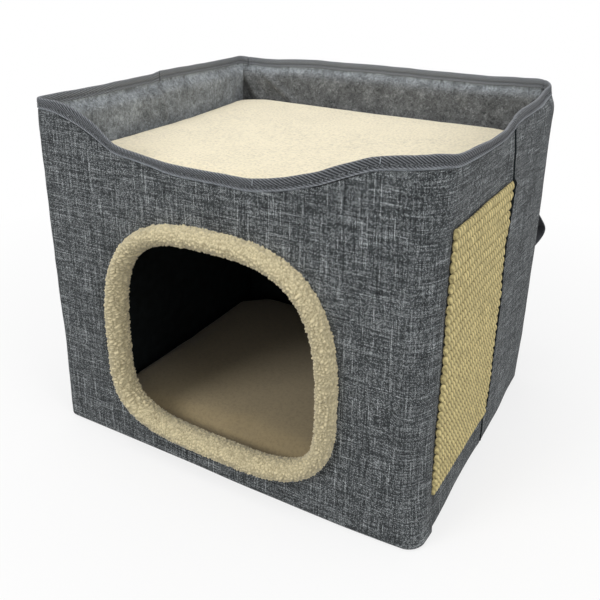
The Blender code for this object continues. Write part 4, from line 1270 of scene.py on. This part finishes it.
class CATHOUSE_OT_scratch_pad(Operator):
    """Lay the sisal ropes on their card, with the hook and loop strips behind"""

    bl_idname = "cat_house.scratch_pad"
    bl_label = "Scratching pad"

    def pad_point(self, y, z, height):
        """A point over the wall at row place y and height z, on the swollen front half."""
        # Behind the fold the pad runs on straight, as the wall stood over the last centimetre before it.
        last, step = 0.1745, 0.01
        front = np.minimum(y + HALF_D, last)
        s = FRONT_RIGHT + front
        x, x_before = (wall_point(place, z, 0.0, seams=None)[..., 0] for place in (s, s - step))
        out = x + (x - x_before) / step * (y + HALF_D - front) + height
        return np.stack([out, y + 0 * x, z + 0 * x], axis=-1)

    def execute(self, context):
        low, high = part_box("sisal_mat")
        # The top rope stands a little over the card's upper edge.
        high.z += 0.0045
        rows = sizes().rope_rows
        pitch = (high.z - low.z) / rows
        lines, ring = ((230, 18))
        turn = (np.arange(ring) * 2 * math.pi / ring)[:, None]
        every_point, every_painted_light, faces = [], [], []
        for row in range(rows):
            here, still = np.array([row]), np.array([0])
            wobble, short = (lattice(here, np.array([k]), still, 5 + 2 * k)[0] for k in (0, 1))
            front = low.y - 0.0010 + 0.0010 * (wobble - 0.5)
            rear = high.y + 0.0006 - 0.0022 * short
            y = np.linspace(front, rear, lines)
            centre_z = low.z + (row + 0.5) * pitch
            from_end = np.minimum(y - front, rear - y)
            cap = np.sqrt(np.clip(1 - (1 - np.clip(from_end / 0.0020, 0, 1)) ** 2, 0.03, 1))
            twist = y[None, :] / STRAND + 0.37 * row
            strand = np.abs(np.cos((2 * math.pi * twist + 3 * turn) / 2))
            grid = np.stack(np.broadcast_arrays(y[None, :], 0.004 * np.cos(turn), centre_z), axis=-1)
            rough = soft_noise(grid, 0.0018, 91) - 0.5
            # Neighbouring ropes are pressed into each other, and each wanders a little up and down.
            half_high, half_thick, wander = pitch * 0.54, 0.0018, 0.0004
            size = (0.82 + 0.20 * strand + 0.24 * rough) * cap[None, :]
            drop = wander * np.sin(y / 0.013 + 2 * wobble)
            z = centre_z + half_high * size * np.sin(turn) + drop[None, :]
            # The front end of each rope is pressed to the wall by its binding.
            bound = soft_share(y, front + 0.0024, front)
            out = 0.0025 - 0.0012 * bound + half_thick * size * np.cos(turn)
            every_point.append(self.pad_point(np.repeat(y[None, :], ring, axis=0), z, out).reshape(-1, 3))
            index = row * ring * lines + np.arange(ring * lines).reshape(ring, lines)
            full = np.vstack([index, index[:1]])
            quads = np.stack([full[:-1, :-1], full[1:, :-1], full[1:, 1:], full[:-1, 1:]], axis=-1)
            faces += [*quads.reshape(-1, 4).tolist(), index[::-1, 0].tolist(), index[:, -1].tolist()]
            # Painted light: each rope is painted darker on its side against the wall and between its strands, as
            # painted shade, and paler on its outer crowns, as painted highlight; at the bound front end this
            # painted shade is lifted to an even tone. The rough noise adds the rope's own uneven tone.
            crown = np.clip(np.cos(turn) * 0.5 + 0.5, 0, 1)
            crown = crown + (0.8 - crown) * bound[None, :]
            every_painted_light.append((0.12 + 0.88 * strand**1.1) * crown * (0.60 + 0.8 * (rough + 0.5)))
        mesh = bpy.data.meshes.new("sisal_ropes")
        mesh.from_pydata(np.concatenate(every_point).tolist(), [], faces)
        add_painted_light(mesh, np.stack(every_painted_light))
        piece = new_piece("sisal_ropes", mesh, finish("sisal"))
        finish_piece(piece, "scratch_pad", "sisal", "sisal_mat")
        inner = Vector((0, low.y + 0.001, low.z + 0.001)), Vector((0, high.y - 0.002, high.z - 0.001))
        self.slab("sisal_card", *inner, 0.0010, 0.0008, "scratch_pad", ("card", "grey_card"), "sisal_backing")
        self.strips()
        return {"FINISHED"}

    def slab(self, name, low, high, start, thick, body, finishing, node):
        """A thin plate that follows the wall's swell."""
        rows = 32 if high.z - low.z > 0.1 else 5
        grid_y, grid_z = np.meshgrid(np.linspace(low.y, high.y, 24), np.linspace(low.z, high.z, rows))
        material, slot = finishing
        points, uv = self.pad_point(grid_y, grid_z, start), np.stack([grid_y, grid_z], axis=-1)
        piece = grid_piece(name, points, uv, finish(material))
        thicken(piece, thick, 1.0)
        return finish_piece(piece, body, slot, node)

    def strips(self):
        for place in ("lower", "upper"):
            for kind, start, body in (("loop", 0.0001, "house"), ("hook", 0.0006, "scratch_pad")):
                node = f"{place}_{kind}_strip"
                low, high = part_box(node)
                piece = self.slab(f"{node}_tape", low, high, start, 0.0004, body, ("hook", "hook_tape"), node)


# The strap's loop from its upper end to its lower: share of its height, and share of its reach from the wall.
STRAP_LOOP = (
    (1.00, 0.00), (0.93, 0.05), (0.81, 0.18), (0.66, 0.42), (0.50, 0.72), (0.38, 0.93),
    (0.32, 0.985), (0.26, 0.95), (0.19, 0.78), (0.12, 0.50), (0.06, 0.20), (0.00, 0.00),
)


class CATHOUSE_OT_carry_strap(Operator):
    """Sew the carrying strap's loop and its two tabs to the back wall"""

    bl_idname = "cat_house.carry_strap"
    bl_label = "Carrying strap"

    def execute(self, context):
        low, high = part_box("carry_strap")
        middle_x, half = (low.x + high.x) / 2, (high.x - low.x) / 2
        # The loop stands out further than its solid, and hangs a little slacker.
        slack = 0.0080
        foot, reach = low.y, high.y - low.y + slack
        blur, count, drawn_rows = 13, 90, len(STRAP_LOOP)
        kernel = np.hanning(blur)
        kernel /= kernel.sum()
        shares = []
        for drawn in zip(*STRAP_LOOP):
            share = np.interp(np.linspace(0, drawn_rows - 1, count), np.arange(drawn_rows), drawn)
            shares.append(np.convolve(np.pad(share, blur // 2, mode="edge"), kernel, mode="valid"))
        up, far = shares
        z = low.z + 0.0010 + (high.z - low.z - 0.0020) * up
        y = foot + 0.0010 + (reach - 0.0020) * far
        across = np.linspace(-1, 1, 9)[:, None]
        cup = 0.0005 * (1 - across**2)
        ahead = np.stack([np.gradient(y), np.gradient(z)])
        ahead_y, ahead_z = ahead / np.linalg.norm(ahead, axis=0)
        # The loop hangs skewed towards the near edge, and its tip is turned a little outwards.
        skew, turned = 0.0180 * far, 0.0035 * far
        drawn = (middle_x + skew + across * half, y - across * turned - cup * ahead_z, z + cup * ahead_y)
        run = run_length(y, z)
        uv = np.stack(np.broadcast_arrays(across * half, run[None, :]), axis=-1)
        piece = grid_piece("webbing_loop", np.stack(drawn, axis=-1), uv, finish("webbing"))
        thicken(piece, 0.0016, 0.0)
        soften(piece, 0.0004, 2)
        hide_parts("carry_strap")
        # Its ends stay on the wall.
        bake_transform(piece)
        for node in ("upper_strap_tab", "lower_strap_tab"):
            self.tab(node, *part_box(node))
        return {"FINISHED"}

    def tab(self, node, low, high):
        """A folded end of webbing with a sewn box on it."""
        x, z = np.meshgrid(np.linspace(low.x, high.x, 12), np.linspace(low.z, high.z, 12))
        edge = np.minimum.reduce([x - low.x, high.x - x, z - low.z, high.z - z])
        y = high.y - 0.0004 - 0.0002 * np.clip((z - low.z) / (high.z - low.z), 0, 1)
        y = y - 0.0006 * ridge(edge, 0.0035, 0.0008)
        points, uv = np.stack([x, y, z], axis=-1)[:, ::-1], np.stack([x, z], axis=-1)
        piece = grid_piece(f"{node}_webbing", points, uv, finish("webbing"))
        thicken(piece, 0.0014)
        finish_piece(piece, "house", "webbing", node)


class CATHOUSE_OT_stage(Operator):
    """Set out the floor, the soft lights, the white surroundings and the camera"""

    bl_idname = "cat_house.stage"
    bl_label = "Stage"

    def execute(self, context):
        scene = context.scene
        scene.view_settings.view_transform = "Standard"
        self.camera(scene)
        self.surroundings(scene)
        self.floor()
        self.lights(scene)
        return {"FINISHED"}

    def camera(self, scene):
        # Fitted to the corners of the house in the photograph.
        place = (0.3503, -0.6453, 0.4900)
        azimuth, elevation, roll = (math.radians(v) for v in (29.241, 26.334, 0.826))
        level = math.cos(elevation)
        back = Vector((math.sin(azimuth) * level, -math.cos(azimuth) * level, math.sin(elevation)))
        right = Vector((0, 0, 1)).cross(back).normalized()
        up = back.cross(right)
        turned = math.cos(roll) * right + math.sin(roll) * up
        above = -math.sin(roll) * right + math.cos(roll) * up
        data = bpy.data.cameras.new("camera")
        # In pixels: the focal length and the frame's width.
        focal, frame_width = 716.6, 600
        data.sensor_width = 36.0
        data.lens = focal / frame_width * data.sensor_width
        data.clip_start, data.clip_end = 0.01, 50
        camera = bpy.data.objects.new("camera", data)
        matrix = Matrix((turned, above, back)).transposed().to_4x4()
        camera.matrix_world = Matrix.Translation(place) @ matrix
        scene.collection.objects.link(camera)
        scene.camera = camera

    def surroundings(self, scene):
        """White where the camera looks at it, and half as bright where it only lights the house."""
        world = bpy.data.worlds.new("white_studio")
        scene.world = world
        world.use_nodes = True
        tree = world.node_tree
        back = tree.nodes["Background"]
        rays = add_node(tree, "LightPath").node.outputs
        seen = rays["Is Camera Ray"]
        for kind in ("Is Glossy Ray", "Is Transmission Ray"):
            seen = add_node(tree, "Math", (seen, rays[kind]), operation="MAXIMUM")
        level = add_node(tree, "MapRange", {"Value": seen, "To Min": 0.50, "To Max": 1.0})
        back.inputs["Color"].default_value = (1, 1, 1, 1)
        tree.links.new(level, back.inputs["Strength"])

    def floor(self):
        bm = bmesh.new()
        bmesh.ops.create_grid(bm, x_segments=8, y_segments=8, size=6.0)
        material, tree = start_material("matt_white_paper", 0.9)
        shader = tree.nodes["Principled BSDF"]
        seen = add_node(tree, "LightPath", out="Is Camera Ray")
        # The paper is pale where it is seen and greyer where it only throws light back at the house.
        level = add_node(tree, "MapRange", {"Value": seen, "To Min": 0.42, "To Max": 0.90})
        paper = add_node(tree, "CombineColor", (level, level, level))
        tree.links.new(paper, shader.inputs["Base Color"])
        # It turns to plain white away from the house.
        glow = add_node(tree, "Emission", {"Color": (1, 1, 1, 1), "Strength": 1.0})
        place = add_node(tree, "TexCoord", out="Object")
        away = add_node(tree, "VectorMath", (place,), "Value", operation="LENGTH")
        white = add_node(tree, "MapRange", (away, 0.25, 0.85, 0.72, 1.0))
        part = add_node(tree, "Math", (seen, white), operation="MULTIPLY")
        mixed = add_node(tree, "MixShader", (part, shader.outputs[0], glow))
        tree.links.new(mixed, tree.nodes["Material Output"].inputs["Surface"])
        floor = new_piece("studio_floor", drawn_mesh("studio_floor", bm), material, smooth=False)
        floor.location.z = -0.0004

    def lights(self, scene):
        # Name, place, width in metres and power in watts.
        lamps = (
            ("key_light", (-1.3, -2.3, 1.8), 1.5, 34.0),
            ("fill_light", (2.6, -0.8, 1.5), 1.5, 26.0),
            ("top_light", (0.1, -0.3, 2.8), 1.6, 18.0),
        )
        middle = Vector((0, 0, 0.18))
        for name, place, size, power in lamps:
            data = bpy.data.lights.new(name, "AREA")
            data.shape = "DISK"
            data.size = size
            data.energy = power
            lamp = bpy.data.objects.new(name, data)
            lamp.location = place
            aim = middle - Vector(place)
            lamp.rotation_euler = aim.to_track_quat("-Z", "Y").to_euler()
            scene.collection.objects.link(lamp)


class CATHOUSE_PT_panel(Panel):
    """Lists the cat house's pieces in the sidebar"""

    bl_idname = "CATHOUSE_PT_panel"
    bl_label = "Folding cat house"
    bl_space_type = "VIEW_3D"
    bl_region_type = "UI"
    bl_category = "Cat house"

    def draw(self, context):
        for group in (sizes(), colours()):
            box = self.layout.box()
            for name in group.bl_rna.properties.keys():
                if name not in ("rna_type", "name"):
                    box.prop(group, name)
        for piece in PIECES:
            self.layout.operator(piece.bl_idname)


PIECES = (
    CATHOUSE_OT_stage,
    CATHOUSE_OT_outer_cover,
    CATHOUSE_OT_wall_boards,
    CATHOUSE_OT_linings,
    CATHOUSE_OT_rim_tape,
    CATHOUSE_OT_door_roll,
    CATHOUSE_OT_platform,
    CATHOUSE_OT_cushion,
    CATHOUSE_OT_floor_mat,
    CATHOUSE_OT_scratch_pad,
    CATHOUSE_OT_carry_strap,
)
CLASSES = (CatHouseSizes, CatHouseColours, *PIECES, CATHOUSE_PT_panel)


def register():
    for item in CLASSES:
        bpy.utils.register_class(item)
    bpy.types.Scene.cat_house_sizes = PointerProperty(type=CatHouseSizes)
    bpy.types.Scene.cat_house_colours = PointerProperty(type=CatHouseColours)


def unregister():
    del bpy.types.Scene.cat_house_colours
    del bpy.types.Scene.cat_house_sizes
    for item in reversed(CLASSES):
        bpy.utils.unregister_class(item)


def main():
    register()
    for piece in PIECES:
        group, name = piece.bl_idname.split(".")
        getattr(getattr(bpy.ops, group), name)()


if __name__ == "__main__":
    main()
